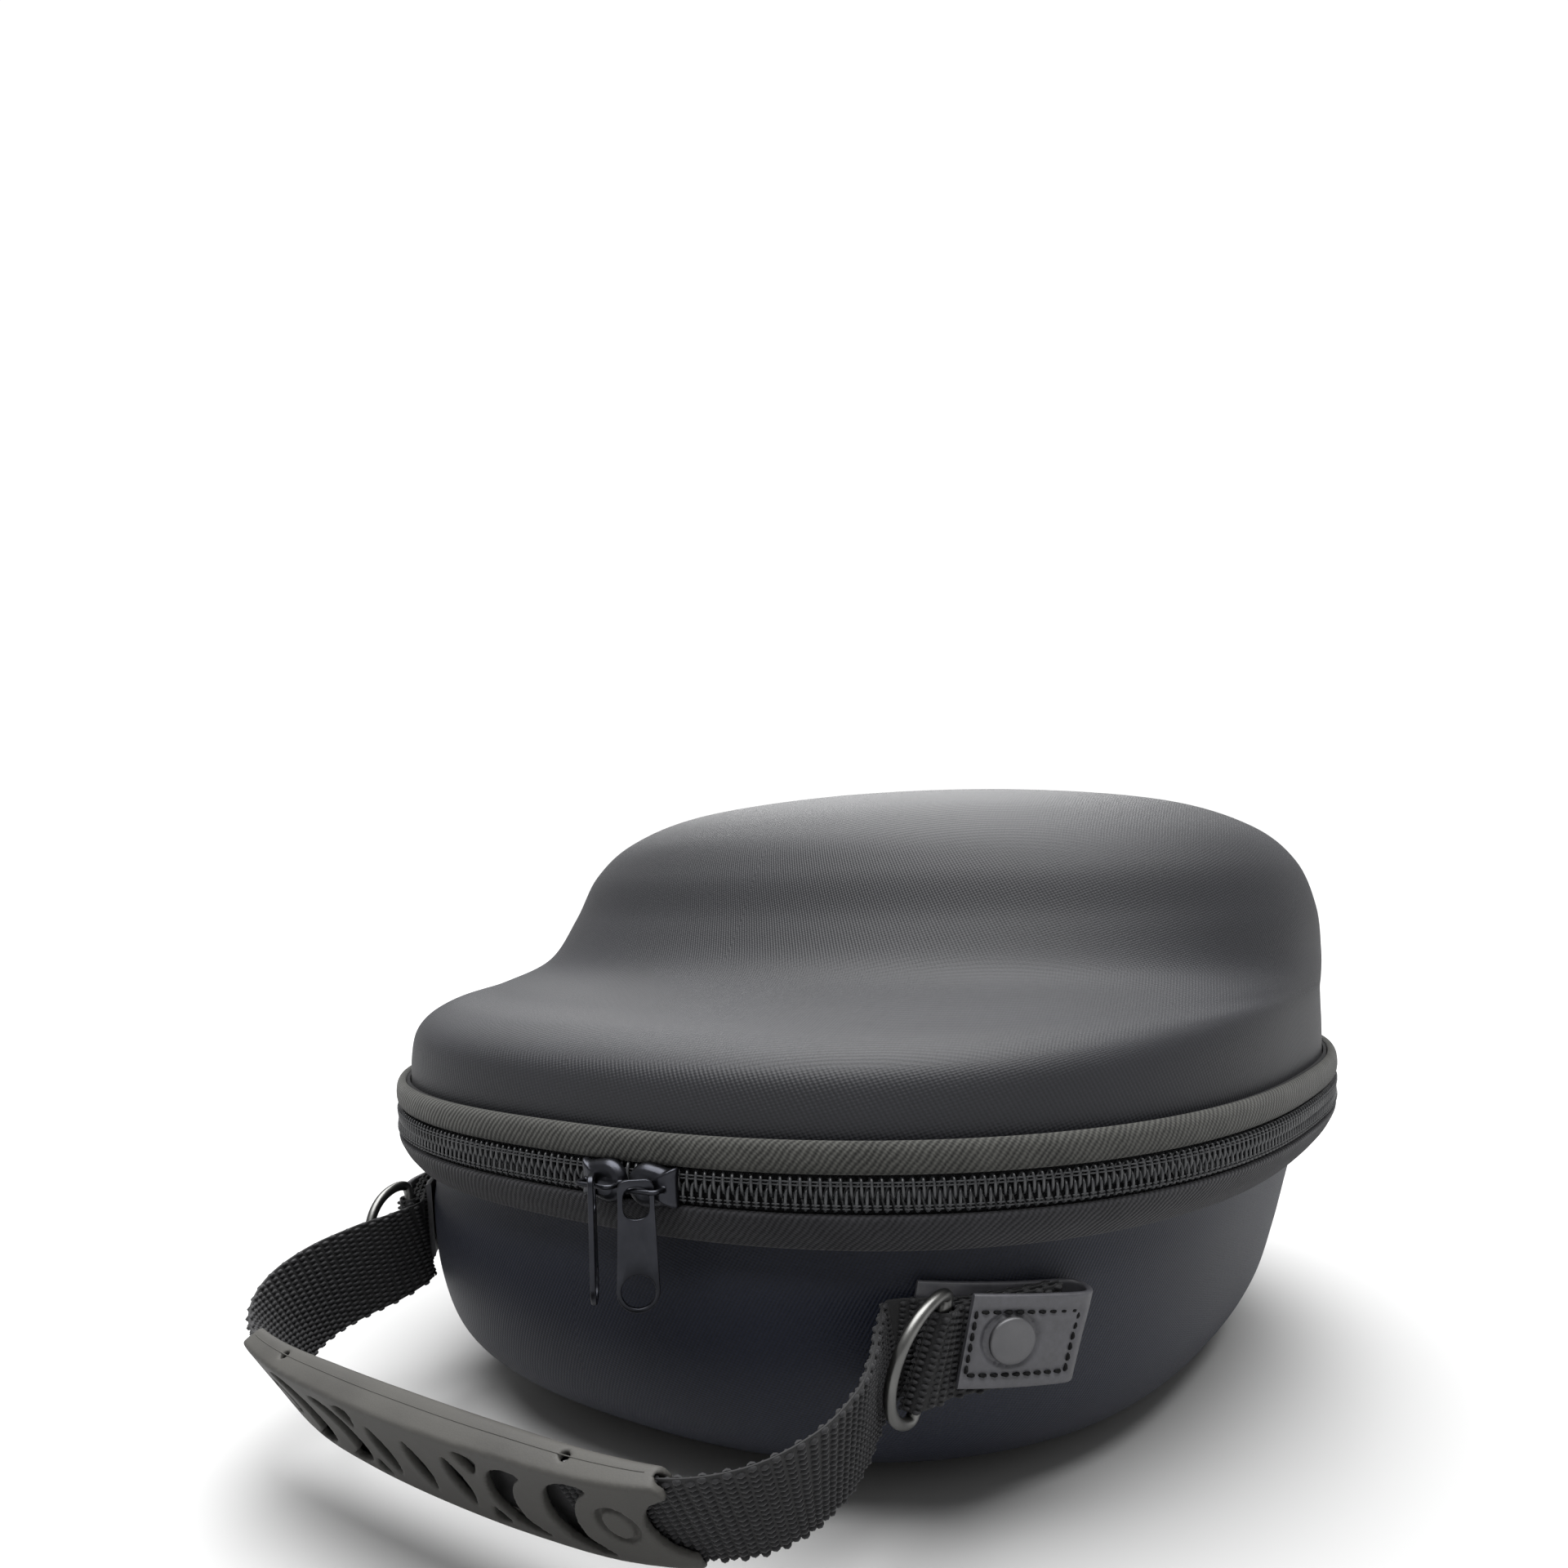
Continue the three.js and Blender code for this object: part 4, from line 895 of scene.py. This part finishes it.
# Case
def with_top(obj):
    """Marks how far each point of a shell faces up or down, so that its cloth pattern lies flat there."""
    mesh = obj.data
    normals = np.zeros(len(mesh.vertices) * 3)
    mesh.vertex_normals.foreach_get("vector", normals)
    top = np.clip((abs(normals[2::3]) - TOP["from"]) / TOP["fade"], 0, 1)
    mesh.attributes.new("top", "FLOAT", "POINT").data.foreach_set("value", top)
    return obj


lid = with_top(mesh_object("lid", shell(LID_SECTIONS, LID_ROWS, 0)))
dress(lid, LID_CLOTH, replaces=["lid_shell"])
bowl = with_top(mesh_object("bowl", shell(BOWL_SECTIONS, BOWL_ROWS, BOWL_ROWS)))
dress(bowl, BOWL_CLOTH, replaces=["bowl_shell"])

# Rim
for name, outline, cloth in (("upper", UPPER_BINDING, TAPE), ("lower", LOWER_BINDING, LOWER_TAPE_CLOTH)):
    strip = mesh_object(name + "_binding_tape", rim_strip(outline, radius=BINDING_ROUND), sharp=60)
    dress(strip, cloth, replaces=[name + "_binding"])
for name, outline in (("upper", UPPER_TAPE), ("lower", LOWER_TAPE)):
    strip = mesh_object("zip_" + name + "_cloth", rim_strip(outline, -ZIP_END, ZIP_END), sharp=60)
    dress(strip, ZIP_CLOTH, replaces=["zip_" + name + "_tape"])
hinge = rim_strip(HINGE_STRIP, ZIP_END + ZIP_STOP, 360 - ZIP_END - ZIP_STOP)
hinge = mesh_object("zip_hinge", hinge, sharp=60)
dress(hinge, TAPE, replaces=["hinge_strip"])


def rim_path(start, stop, count):
    """A poly curve along the zip line."""
    at, _, _ = rim_frames(np.radians(np.linspace(start, stop, count)))
    curve = bpy.data.curves.new("rim_path", "CURVE")
    curve.dimensions = "3D"
    poly_line(curve, at)
    return linked("rim_path", curve), lengths(at)[-1]


def zip_stitches(name, side):
    """Rows of thread that sew one half of the coil to its tape, a stitch over every turn."""
    angles = np.radians(np.linspace(-ZIP_END, ZIP_END, RIM_SAMPLES))
    run = lengths(rim_frames(angles)[0])
    spots = np.interp(np.arange(COIL["pitch"], run[-1], COIL["pitch"]), run, angles)
    at, along, out = rim_frames(spots)
    rows = [at + [0, 0, side * rise] + COIL_SEAM["out"] * out for rise in COIL_SEAM["rises"]]
    repeat = (np.concatenate([v] * len(rows)) for v in (along, out))
    return laid(name, np.concatenate(rows), *repeat, COIL_SEAM["stitch"], COIL_THREAD, uneven=0.08, seed=7)


for name, side, phase in (("upper", 1, 0), ("lower", -1, 0.5)):
    path, run = rim_path(-ZIP_END, ZIP_END, COIL_POINTS)
    sizes = {label: COIL[label.lower()] * MM for label in ("Middle", "Span", "Depth", "Out", "Wire")}
    parting = {
        "Part at": 0.5 + SLIDERS_MEET / (2 * ZIP_END), "Part width": COIL_PART["width"] / run,
        "Part rise": COIL_PART["rise"] * MM, "Part out": COIL_PART["out"] * MM,
    }
    coil = grown("zip_coil_" + name, path, WIND, {
        "Turns": round(run / COIL["pitch"]), "Steps": COIL["steps"], "Sides": COIL["sides"], "Phase": phase,
        "Side": side, "Upright": COIL["upright"], "Material": COIL_WIRE, **sizes, **parting})
    dress(coil, COIL_WIRE, replaces=["zip_coil"])
    dress(zip_stitches("zip_thread_" + name, side), COIL_THREAD)


# Webbing
def weave(name, place, length, width, thick, bare):
    """Yarn floats on both faces of a webbing in rows across it, each row half a float beside the last;
    its middle is left bare this far to each side, where the grip covers it, so that through the slots the
    darker core shows as painted shade."""
    rows = round(length / WEAVE["along"])
    edge = width / 2 - WEAVE["inset"]
    spots, runs, tops = [], [], []
    for row in range(rows):
        at = (row + 0.5) / rows * length
        if abs(at - length / 2) < bare:
            continue
        across = np.arange(0.5 * WEAVE["across"] * (row % 2) - edge, edge, WEAVE["across"])
        run = np.full(len(across), at)
        for face in (1, -1):
            lift = np.full(len(run), face * (thick / 2 - YARN_SUNK))
            here = place(run, across, lift)
            spots.append(here)
            runs.append(place(run + LOOK_AHEAD, across, lift) - here)
            tops.append(place(run, across, lift + face) - here)
    laid_at = (np.concatenate(k) for k in (spots, runs, tops))
    return laid(name, *laid_at, WEAVE["float"], WEB, uneven=0.12, seed=3)


def strap_frames(spacing):
    """Stations from the left tab through the grip to the right: points, across, off."""
    count = round((WEBBING["end"] - WEBBING["leaves"]) / spacing)
    arcs = np.linspace(WEBBING["end"], WEBBING["leaves"], count, endpoint=False)
    left, right = ((strap_on_wall(side, arcs), *wall_frames(side, arcs)[2:]) for side in (-1, 1))
    count = round(HANDLE_LENGTH * (1 - 2 * FREE_END) / spacing)
    middle = handle_frames(np.linspace(FREE_END, 1 - FREE_END, count + 1))
    return [np.concatenate([a, b, c[::-1]]) for a, b, c in zip(left, middle, right)]


STRAP = strap_frames(STRAP_SPACING)
STRAP_RUN = lengths(STRAP[0])


def strap_points(run, across, off):
    """Places on the strap, which is gathered a little where it is sewn into a tab."""
    at, wide, thick = (np.stack([np.interp(run, STRAP_RUN, k) for k in v.T], -1) for v in STRAP)
    near = np.minimum(run, STRAP_RUN[-1] - run)
    free = ease((near - STRAP_GATHER["from"]) / (STRAP_GATHER["to"] - STRAP_GATHER["from"]))
    narrow = STRAP_GATHER["share"] + (1 - STRAP_GATHER["share"]) * free
    return at + (across * narrow)[..., None] * wide + np.asarray(off)[..., None] * thick


def webbing(name, place, length, width, thick, node, bare=0):
    """A webbing piece: a core coloured darker than its yarn, as painted shade in the gaps between the floats,
    with the yarn floats on it.
    """
    spacing = CORE["spacing"]
    core = strip_section(width / 2 - CORE["narrower"], thick - CORE["thinner"], CORE["round"], spacing)
    stations = np.linspace(0, length, round(length / spacing) + 1)
    piece = mesh_object(name, swept(place, stations, core))
    dress(piece, SHADED_WEB_CORE, replaces=[node])
    dress(weave(name + "_yarn", place, length, width, thick, bare), WEB)


webbing(
    "handle_webbing", strap_points, STRAP_RUN[-1], WEBBING["width"], WEBBING["thick"],
    "handle_strap", BARE_CORE_IN_GRIP)


# Grip
def grip_at(along):
    """Place on the handle, from 0 to 1, of a distance from the grip's middle."""
    return 0.5 + np.asarray(along) / HANDLE_LENGTH


def grip_face(along):
    """How far the grip's front stands off the strap's middle."""
    arch = np.cos(along / GRIP["half"] * np.pi / 2).clip(0) ** GRIP["arch"]
    return GRIP["tip"] + (GRIP["thick"] - GRIP["tip"]) * arch


def grip_ring(along):
    """Section of the grip as [across, off]: a flat front creased at the top, rounder below and behind."""
    face = grip_face(along)
    swell = 1 - (along / GRIP["half"]) ** GRIP["swell"]
    narrow = GRIP_CHANNEL["wide"] + GRIP["rim"]
    wide = narrow + (GRIP["wide"] - narrow) * swell
    back = -GRIP["back"] * face
    outline = [[wide, face], [-wide, face], [-wide, back], [wide, back], [wide + GRIP["dome"] * swell, 0]]
    return rounded(outline, GRIP_ROUNDS, steps=6)


def channel_ring(along):
    """Section of the hollow inside the grip, a thin wall inside its faces."""
    face = grip_face(along)
    wide, least, wall = (GRIP_CHANNEL[key] for key in ("wide", "least", "wall"))
    high, low = max(least, face - wall), max(least, GRIP["back"] * face - wall)
    return rounded([[wide, high], [-wide, high], [-wide, -low], [wide, -low]], GRIP_CHANNEL["round"])


def grip_tube(stations, rings):
    """A closed tube along the handle through rings of [across, off]."""
    u = grip_at(stations)[:, None] + np.zeros(rings.shape[:2])
    return grid(handle_points(u, rings[..., 0], rings[..., 1]), wrap_cols=True, caps=True)


def grip_prism(outline):
    """An outline of [along, across] carried right through the grip's thickness."""
    u = grip_at(outline[:, 0])
    through = np.full(len(outline), 2 * GRIP["thick"])
    levels = [handle_points(u, outline[:, 1], off) for off in (-through, through)]
    return grid(levels, wrap_cols=True, caps=True)


def grip_pin_hole(along):
    """A round hole into the grip's upper edge."""
    ring = circle(24, GRIP_PIN["radius"], (along, GRIP_PIN["off"]))
    u = grip_at(ring[:, 0])
    levels = [handle_points(u, np.full(len(ring), across), ring[:, 1]) for across in GRIP_PIN["across"]]
    return grid(levels, wrap_cols=True, caps=True)


def grip_groove(end):
    """The ring groove round the boss near one end of the front face."""
    turn = circle(36)
    face = float(grip_face(np.array(GRIP_BOSS["along"])))
    low, high = -GRIP_BOSS["deep"], GRIP_BOSS["clear"]
    size = np.array([GRIP_BOSS["wide"], GRIP_BOSS["tall"]])
    inner, outer = turn * size, turn * (size + GRIP_BOSS["groove"])
    levels = []
    for ring, lift in ((outer, low), (outer, high), (inner, high), (inner, low)):
        u = grip_at(end * GRIP_BOSS["along"] + ring[:, 0])
        levels.append(handle_points(u, GRIP_BOSS["across"] + ring[:, 1], np.full(len(ring), face + lift)))
    return grid(levels, wrap_rows=True, wrap_cols=True)


def carved(name, body, cuts, joins, voxel, smooth):
    """A moulded body: pieces joined, hollows cut, then remade at one fine size with soft edges."""
    whole = mesh_object(name, body)
    tools = [(mesh_object("tool", shape), "UNION") for shape in joins]
    tools += [(mesh_object("tool", shape), "DIFFERENCE") for shape in cuts]
    for tool, operation in tools:
        modifier = whole.modifiers.new("cut", "BOOLEAN")
        modifier.object = tool
        modifier.operation = operation
        modifier.solver = "EXACT"
    plain(whole)
    for tool, _ in tools:
        bpy.data.objects.remove(tool)
    remesh = whole.modifiers.new("remesh", "REMESH")
    remesh.mode = "VOXEL"
    remesh.voxel_size = voxel * MM
    soften = whole.modifiers.new("soften", "SMOOTH")
    soften.factor = 0.5
    soften.iterations = smooth
    return shaded(plain(whole), sharp=180)


def grip_piece():
    """The moulded sleeve with its channel, boss grooves, pin holes, open ends and slots."""
    stations = GRIP["half"] * np.sin(np.linspace(-np.pi / 2, np.pi / 2, GRIP["stations"]))
    body = grip_tube(stations, np.array([grip_ring(along) for along in stations]))
    past = GRIP["half"] + GRIP_CHANNEL["beyond"]
    channel = np.linspace(-past, past, GRIP_CHANNEL["stations"])
    cuts = [grip_tube(channel, np.array([channel_ring(along) for along in channel]))]
    for end in (1, -1):
        cuts += [grip_groove(end), grip_pin_hole(end * GRIP_PIN["along"])]
        cuts.append(grip_prism(closed_curve(GRIP_MOUTH, samples=5) * [end, 1]))
        cuts.append(grip_prism(rounded(GRIP_END_CORNER, radius=1) * [end, 1]))
        for outline, along, across, size in GRIP_SLOTS:
            if along or end == 1:
                ring = closed_curve(np.array(outline) * [abs(size), size], samples=5) + [along, across]
                cuts.append(grip_prism(ring * [end, 1]))
    return carved("grip_sleeve", body, cuts, [], GRIP["voxel"], GRIP["smooth"])


def grip_flash():
    """The thin parting line that the mould left along the top narrow face."""
    end = GRIP["half"] - GRIP_FLASH["short"]
    stations = np.linspace(-end, end, GRIP_FLASH["stations"])
    crest = np.array([grip_ring(along)[:, 0].max() for along in stations])
    bead = circle(8, GRIP_FLASH["radius"])
    rings = crest[:, None, None] * [1, 0] + bead[None] + [0, GRIP_PIN["off"]]
    return grip_tube(stations, rings)


dress(grip_piece(), RUBBER, replaces=["handle_grip"])
dress(mesh_object("grip_parting_line", grip_flash()), RUBBER)


# Tabs, loops, rings and rivets
def tab_path():
    """The folded leather from its tongue under the strap, round the fold at the back, to its front edge."""
    front, outer = -TAB["length"] / 2, TAB["depth"] / 2
    mid, fold = WALL_GAP + outer, TAB["length"] / 2 - outer
    skin = outer - TAB["leather"] / 2
    back = level_run(front - TAB["tongue"], fold, mid - skin, count=40)
    face = level_run(fold, front + TAB["short"], mid + skin, count=40)
    return np.concatenate([back[:-1], arc_points([fold, mid], skin, -90, 90, steps=14), face[1:]])


def tab_skew(arcs, across):
    """The tab's front edge, fold and seam lean a little."""
    return across * math.tan(math.radians(TAB["skew"]))


def tab_relief(arcs, across, lifts):
    """Front leather drawn down along its seam and round the rivet, and full over the folded webbing."""
    front = np.clip(lifts - WALL_GAP - TAB["depth"] + 2 * TAB["leather"], 0, 1)
    middle = np.array([SEAM["front"] + SEAM["fold"], SEAM["low"] + SEAM["high"]]) / 2
    half = np.array([SEAM["fold"] - SEAM["front"], SEAM["high"] - SEAM["low"]]) / 2
    x, y = abs(arcs - tab_skew(arcs, across) - middle[0]) - half[0], abs(across - middle[1]) - half[1]
    seam = np.hypot(np.maximum(x, 0), np.maximum(y, 0)) + np.minimum(np.maximum(x, y), 0)
    ring = np.hypot(arcs - RIVET["arc"], across - RIVET["height"]) - RIVET["cap"] - DIP["clear"]
    lump = ((arcs - LUMP["arc"]) / LUMP["long"]) ** 2 + ((across - LUMP["height"]) / LUMP["tall"]) ** 2
    relief = LUMP["rise"] * np.exp(-lump)
    for off, (deep, wide) in ((seam, DIP["seam"]), (ring, DIP["rivet"])):
        relief = relief - deep * np.exp(-((off / wide) ** 2))
    return front * relief


BAR_ARC = -TAB["length"] / 2 - LOOP["ahead"]
BAR_LIFT = LOOP["lift"] + LOOP["eye"] + LOOP["thick"]


def loop_path():
    """The loop from its sewn end, forward under the bar, round it and back on top of itself."""
    low, high = LOOP["lift"] + LOOP["thick"] / 2, LOOP["lift"] + 1.5 * LOOP["thick"] + LOOP["gap"]
    eye = LOOP["eye"] + LOOP["thick"] / 2
    under = level_run(LOOP["back"], BAR_ARC, low, count=24)
    over = level_run(-TAB["length"] / 2 - LOOP["gap"], LOOP["back"], high, count=18)
    round_bar = arc_points([BAR_ARC, BAR_LIFT], eye, -90, -90 - LOOP["wraps"], steps=20)
    return np.concatenate([under[:-1], round_bar, over])


def loop_skew(arcs, across):
    """The loop's front leans with its bar; its sewn end doesn't."""
    share = np.clip((-TAB["length"] / 2 - arcs) / LOOP["ahead"], 0, 1)
    return share * across * math.tan(math.radians(LOOP["skew"]))


def ring_shape(side):
    """A wire ring with a straight bar in its loop, swung out from the wall."""
    _, along, up, out = (v[0] for v in wall_frames(side, [BAR_ARC]))
    bar = wall_points(side, np.array([BAR_ARC]), np.array([LOOP["drop"] * BAR_ARC]), np.array([BAR_LIFT]))[0]
    skew = math.tan(math.radians(LOOP["skew"]))
    upward = unit(up * (1 + LOOP["drop"] * skew) + along * skew)
    swing = math.radians(RING["swing"])
    ahead = out * math.sin(swing) - along * math.cos(swing)
    ahead = unit(ahead - upward * (ahead @ upward))
    bow = np.array(RING_BOW)
    smooth = closed_curve(np.concatenate([bow, bow[::-1] * [1, -1]]), samples=8)
    turn = unit(np.roll(smooth, -1, 0) - np.roll(smooth, 1, 0))
    normal = np.stack([turn[:, 1], -turn[:, 0]], -1)
    ring = circle(16, RING["wire"] / 2)
    flat = smooth[:, None] + ring[None, :, :1] * normal[:, None]
    cross = np.cross(ahead, upward)
    points = bar + flat[..., :1] * ahead + flat[..., 1:] * upward + ring[None, :, 1:] * cross
    return grid(points, wrap_rows=True, wrap_cols=True)


def rivet_shape(side):
    """Rivet turned from its head inside the bowl, along its shank, to its cap on the tab."""
    at, along, up, out = (v[0] for v in wall_frames(side, [RIVET["arc"]]))
    seat = WALL_GAP + TAB["depth"] + RIVET["seat"]
    cap = np.array(RIVET_CAP) * [RIVET["cap"], RIVET["crown"]] + [0, seat]
    inside = -SHELL_WALL - RIVET["clear"]
    end = inside - RIVET["plate"]
    head = [[0.01, end], [RIVET["head"], end], [RIVET["head"], inside]]
    shank = [[RIVET["shank"], inside], [RIVET["shank"], cap[0, 1]]]
    turns = circle(48)
    centre = at + RIVET["height"] * up
    rings = []
    for radius, lift in [*head, *shank, *cap]:
        rings.append(centre + lift * out + radius * (turns[:, :1] * along + turns[:, 1:] * up))
    return grid(rings, wrap_cols=True, caps=True)


def stitch_row(side, corners, lift, pitch):
    """Points for stitches round a closed outline of [arc, height] on a tab, with their directions."""
    corners = np.array([*corners, corners[0]])
    run = lengths(corners)
    count = round(run[-1] / pitch)
    spots = (np.arange(count) + 0.5) / count * run[-1]
    flat = np.stack([np.interp(spots, run, k) for k in corners.T], -1)
    ahead = np.stack([np.interp(spots + LOOK_AHEAD, run, k) for k in corners.T], -1)
    lifts = np.full(count, lift)
    here, there = (wall_points(side, x + tab_skew(x, y), y, lifts) for x, y in (flat.T, ahead.T))
    _, _, _, out = wall_frames(side, flat[:, 0])
    return here, unit(there - here), out


for name, side in SIDES:
    fold, length = wall_path(side, tab_path(), skew=tab_skew, relief=tab_relief)
    section = strip_section(TAB["height"] / 2, TAB["leather"], TAB["edge"], TAB["spacing"])
    stations = np.linspace(0, length, TAB["stations"])
    tab = mesh_object("tab_leather_" + name, swept(fold, stations, section))
    dress(tab, HIDE, replaces=["tab_" + name])
    loop, length = wall_path(side, loop_path(), LOOP["drop"], skew=loop_skew)
    webbing("ring_webbing_" + name, loop, length, LOOP["width"], LOOP["thick"], "ring_loop_" + name)
    ring = mesh_object("ring_wire_" + name, ring_shape(side), sharp=80)
    dress(ring, RING_METAL, name + "_ring", ["d_ring_" + name])
    rivet = mesh_object("rivet_cap_" + name, rivet_shape(side), sharp=50)
    dress(rivet, CAP_METAL, replaces=["rivet_" + name])
    corners = [[SEAM[arc], SEAM[edge]] for arc, edge in SEAM_CORNERS]
    sewn = stitch_row(side, corners, WALL_GAP + TAB["depth"] - SEAM["sunk"], SEAM["pitch"])
    stitches = laid("tab_stitches_" + name, *sewn, SEAM["stitch"], THREAD, uneven=0.1, seed=5)
    dress(stitches, THREAD)


# Sliders and pulls
def seat_matrix(side):
    """Where a slider sits on the zip, with its front turned outwards."""
    turn = side * (SLIDER["length"] / 2 + SLIDER["apart"]) / ZIP_OVAL[0, 2]
    at, _, out = (v[0] for v in rim_frames(np.array([math.radians(SLIDERS_MEET) + turn])))
    return Matrix.Translation(Vector(at) * MM) @ Matrix.Rotation(math.atan2(out[0], -out[1]), 4, "Z")


def placed(obj, matrix):
    """The object with its mesh moved to its place."""
    obj.data.transform(matrix)
    return obj


def slider_shape(nose):
    """Front plate of a slider: a domed shield with a rounded nose and flared corners behind."""
    half = np.array([nose * SLIDER["length"] / 2, SLIDER["height"] / 2])
    upper = np.array(SHIELD)
    outline = closed_curve(np.concatenate([upper, upper[-2:0:-1] * [1, -1]]), samples=5) * half
    peak = np.array([SHIELD_PEAK * half[0], 0])
    rows = []
    for share, front in SHIELD_DOME:
        flat = peak + (outline - peak) * share
        rows.append(np.stack([flat[:, 0], np.full(len(flat), -front), flat[:, 1]], -1))
    return grid(rows, wrap_cols=True, caps=True)


def bail_shape():
    """The wire bail that holds the pull in front of a slider, with its feet in the slider's body."""
    a, stand, foot = BAIL["span"] / 2, BAIL["stand"], -BAIL["foot"]
    corners = [[-a, 0], [-a, stand], [a, stand], [a, 0]]
    flat = rounded(corners, BAIL["bend"], BEND_STEPS)[BEND_STEPS:-BEND_STEPS]
    flat = np.concatenate([[[-a, foot]], flat, [[a, foot]]])
    path = np.stack([flat[:, 0], -SLIDER["front"] - flat[:, 1], 0 * flat[:, 0]], -1)
    side = np.cross(unit(np.gradient(path, axis=0)), [0, 0, 1])
    ring = circle(12, BAIL["wire"] / 2)
    points = path[:, None] + ring[None, :, :1] * side[:, None] + ring[None, :, 1:] * np.array([0, 0, 1])
    return grid(points, wrap_cols=True, caps=True)


def pull_mesh(name):
    """Stamped sheet pull with rolled edges, in the XY plane with the bail's wire through the origin."""
    top = BAIL["wire"] / 2 + PULL["slack"] + PULL["rim"]
    low = top - PULL["drop"] + PULL["foot"]
    eye, foot, upper = PULL["eye"], PULL["foot"], top - PULL["rim"]
    lower = upper - EYE_HOLE["tall"]
    w = EYE_HOLE["wide"] / 2
    corners = [[-eye, lower], [-eye, top], [eye, top], [eye, lower]]
    head = rounded(corners, PULL["round"], BEND_STEPS)[BEND_STEPS:-BEND_STEPS]
    outer = np.concatenate([head, arc_points([0, low], foot, 0, -180, steps=24)])
    eye_hole = rounded([[-w, upper], [w, upper], [w, lower], [-w, lower]], EYE_HOLE["corner"], steps=5)
    foot_hole = circle(36, PULL["hole"], (0, low))
    curve = bpy.data.curves.new(name, "CURVE")
    curve.dimensions = "2D"
    curve.fill_mode = "BOTH"
    curve.extrude = (PULL["sheet"] / 2 - PULL["edge"]) * MM
    curve.bevel_depth = PULL["edge"] * MM
    curve.offset = -PULL["edge"] * MM
    curve.bevel_resolution = 3
    for outline in (outer, eye_hole, foot_hole):
        poly_line(curve, np.column_stack([outline, np.zeros(len(outline))]), ring=True)
    source = linked(name + "_curve", curve)
    mesh = made_mesh(source)
    bpy.data.objects.remove(source)
    return shaded(linked(name, closed(mesh)), sharp=35)


for name, side in SIDES:
    seat = seat_matrix(side)
    plate, bail = slider_shape(-side), [bail_shape()]
    slider = carved("slider_body_" + name, plate, [], bail, SLIDER_VOXEL, SLIDER_SMOOTH)
    dress(placed(slider, seat), METAL, replaces=["slider_" + name])
    pull = pull_mesh("pull_plate_" + name)
    hang = Matrix.Translation((0, -(SLIDER["front"] + BAIL["stand"]) * MM, 0))
    twist = Matrix.Rotation(math.radians(PULL_TWIST[name]), 4, "Z")
    placed(pull, seat @ hang @ twist @ Matrix.Rotation(math.pi / 2, 4, "X"))
    dress(pull, METAL, name + "_pull", ["pull_" + name])

bpy.data.objects.remove(PILL)


# Stage, light and camera
FLOOR_RADIUS = 40
# Strength of the white room as light on the object, and where the camera sees it
ROOM = {"dim": 0.4, "seen": 1.05}
# Name, kind, power, size (spread of the sun in radians, side of a softbox in metres), place and aim in metres
LIGHTS = [
    ("overhead_bank", "SUN", 8, 1.2, (0, 0, 1.6), (0, 0, 0)),
    ("window_behind", "AREA", 30, 1.4, (-0.95, 1.5, 1.45), (0, 0, 0.1)),
]
# Camera: place in mm, angles in radians, focal length in dots of a picture this many dots wide
CAMERA = {"place": (203.7, -336.7, 143.2), "turn": 0.62, "pitch": 0.0504, "roll": -0.0237, "focal": 1484.2}
PICTURE = 1920
# Row of the picture that the lens points at, below its middle
AXIS_ROW = 1152
SENSOR = 36
NEAREST = 0.01


def floor_and_light():
    """A wide pale floor, a white room and the lamps."""
    mesh = bpy.data.meshes.new("floor")
    work = bmesh.new()
    bmesh.ops.create_circle(work, cap_ends=True, segments=96, radius=FLOOR_RADIUS)
    work.to_mesh(mesh)
    work.free()
    floor = linked("floor", mesh)
    grey = linear("#a6a6a6")
    material, _, _ = surface("pale_studio_floor", roughness=0.95, base_color=grey, specular_ior_level=0.1)
    mesh.materials.append(material)
    world = bpy.data.worlds.new("white_walled_room")
    bpy.context.scene.world = world
    world.use_nodes = True
    tree = world.node_tree
    seen = add(tree, "ShaderNodeLightPath", out="Is Camera Ray")
    level = add(tree, "ShaderNodeMapRange", {"Value": seen, "To Min": ROOM["dim"], "To Max": ROOM["seen"]})
    tree.links.new(level, tree.nodes["Background"].inputs["Strength"])
    tree.nodes["Background"].inputs["Color"].default_value = linear("#ffffff")
    for name, kind, power, size, place, aim in LIGHTS:
        lamp = bpy.data.lights.new(name, kind)
        lamp.energy = power
        setattr(lamp, "angle" if kind == "SUN" else "size", size)
        obj = linked(name, lamp)
        obj.location = place
        obj.rotation_euler = (Vector(aim) - Vector(place)).to_track_quat("-Z", "Y").to_euler()


def camera():
    """The camera, standing where the photograph was taken from."""
    turn, pitch, roll = CAMERA["turn"], CAMERA["pitch"], CAMERA["roll"]
    back = Vector((math.sin(turn) * math.cos(pitch), -math.cos(turn) * math.cos(pitch), math.sin(pitch)))
    level = Vector((math.cos(turn), math.sin(turn), 0))
    upward = back.cross(level)
    right = math.cos(roll) * level + math.sin(roll) * upward
    top = math.cos(roll) * upward - math.sin(roll) * level
    lens = bpy.data.cameras.new("camera")
    lens.sensor_width = SENSOR
    lens.lens = CAMERA["focal"] / PICTURE * SENSOR
    lens.shift_y = (AXIS_ROW - PICTURE / 2) / PICTURE
    lens.clip_start = NEAREST
    obj = linked("camera", lens)
    turned = Matrix((right, top, back)).transposed().to_4x4()
    obj.matrix_world = Matrix.Translation(Vector(CAMERA["place"]) * MM) @ turned
    bpy.context.scene.camera = obj


floor_and_light()
camera()
bpy.context.scene.view_settings.view_transform = "Standard"
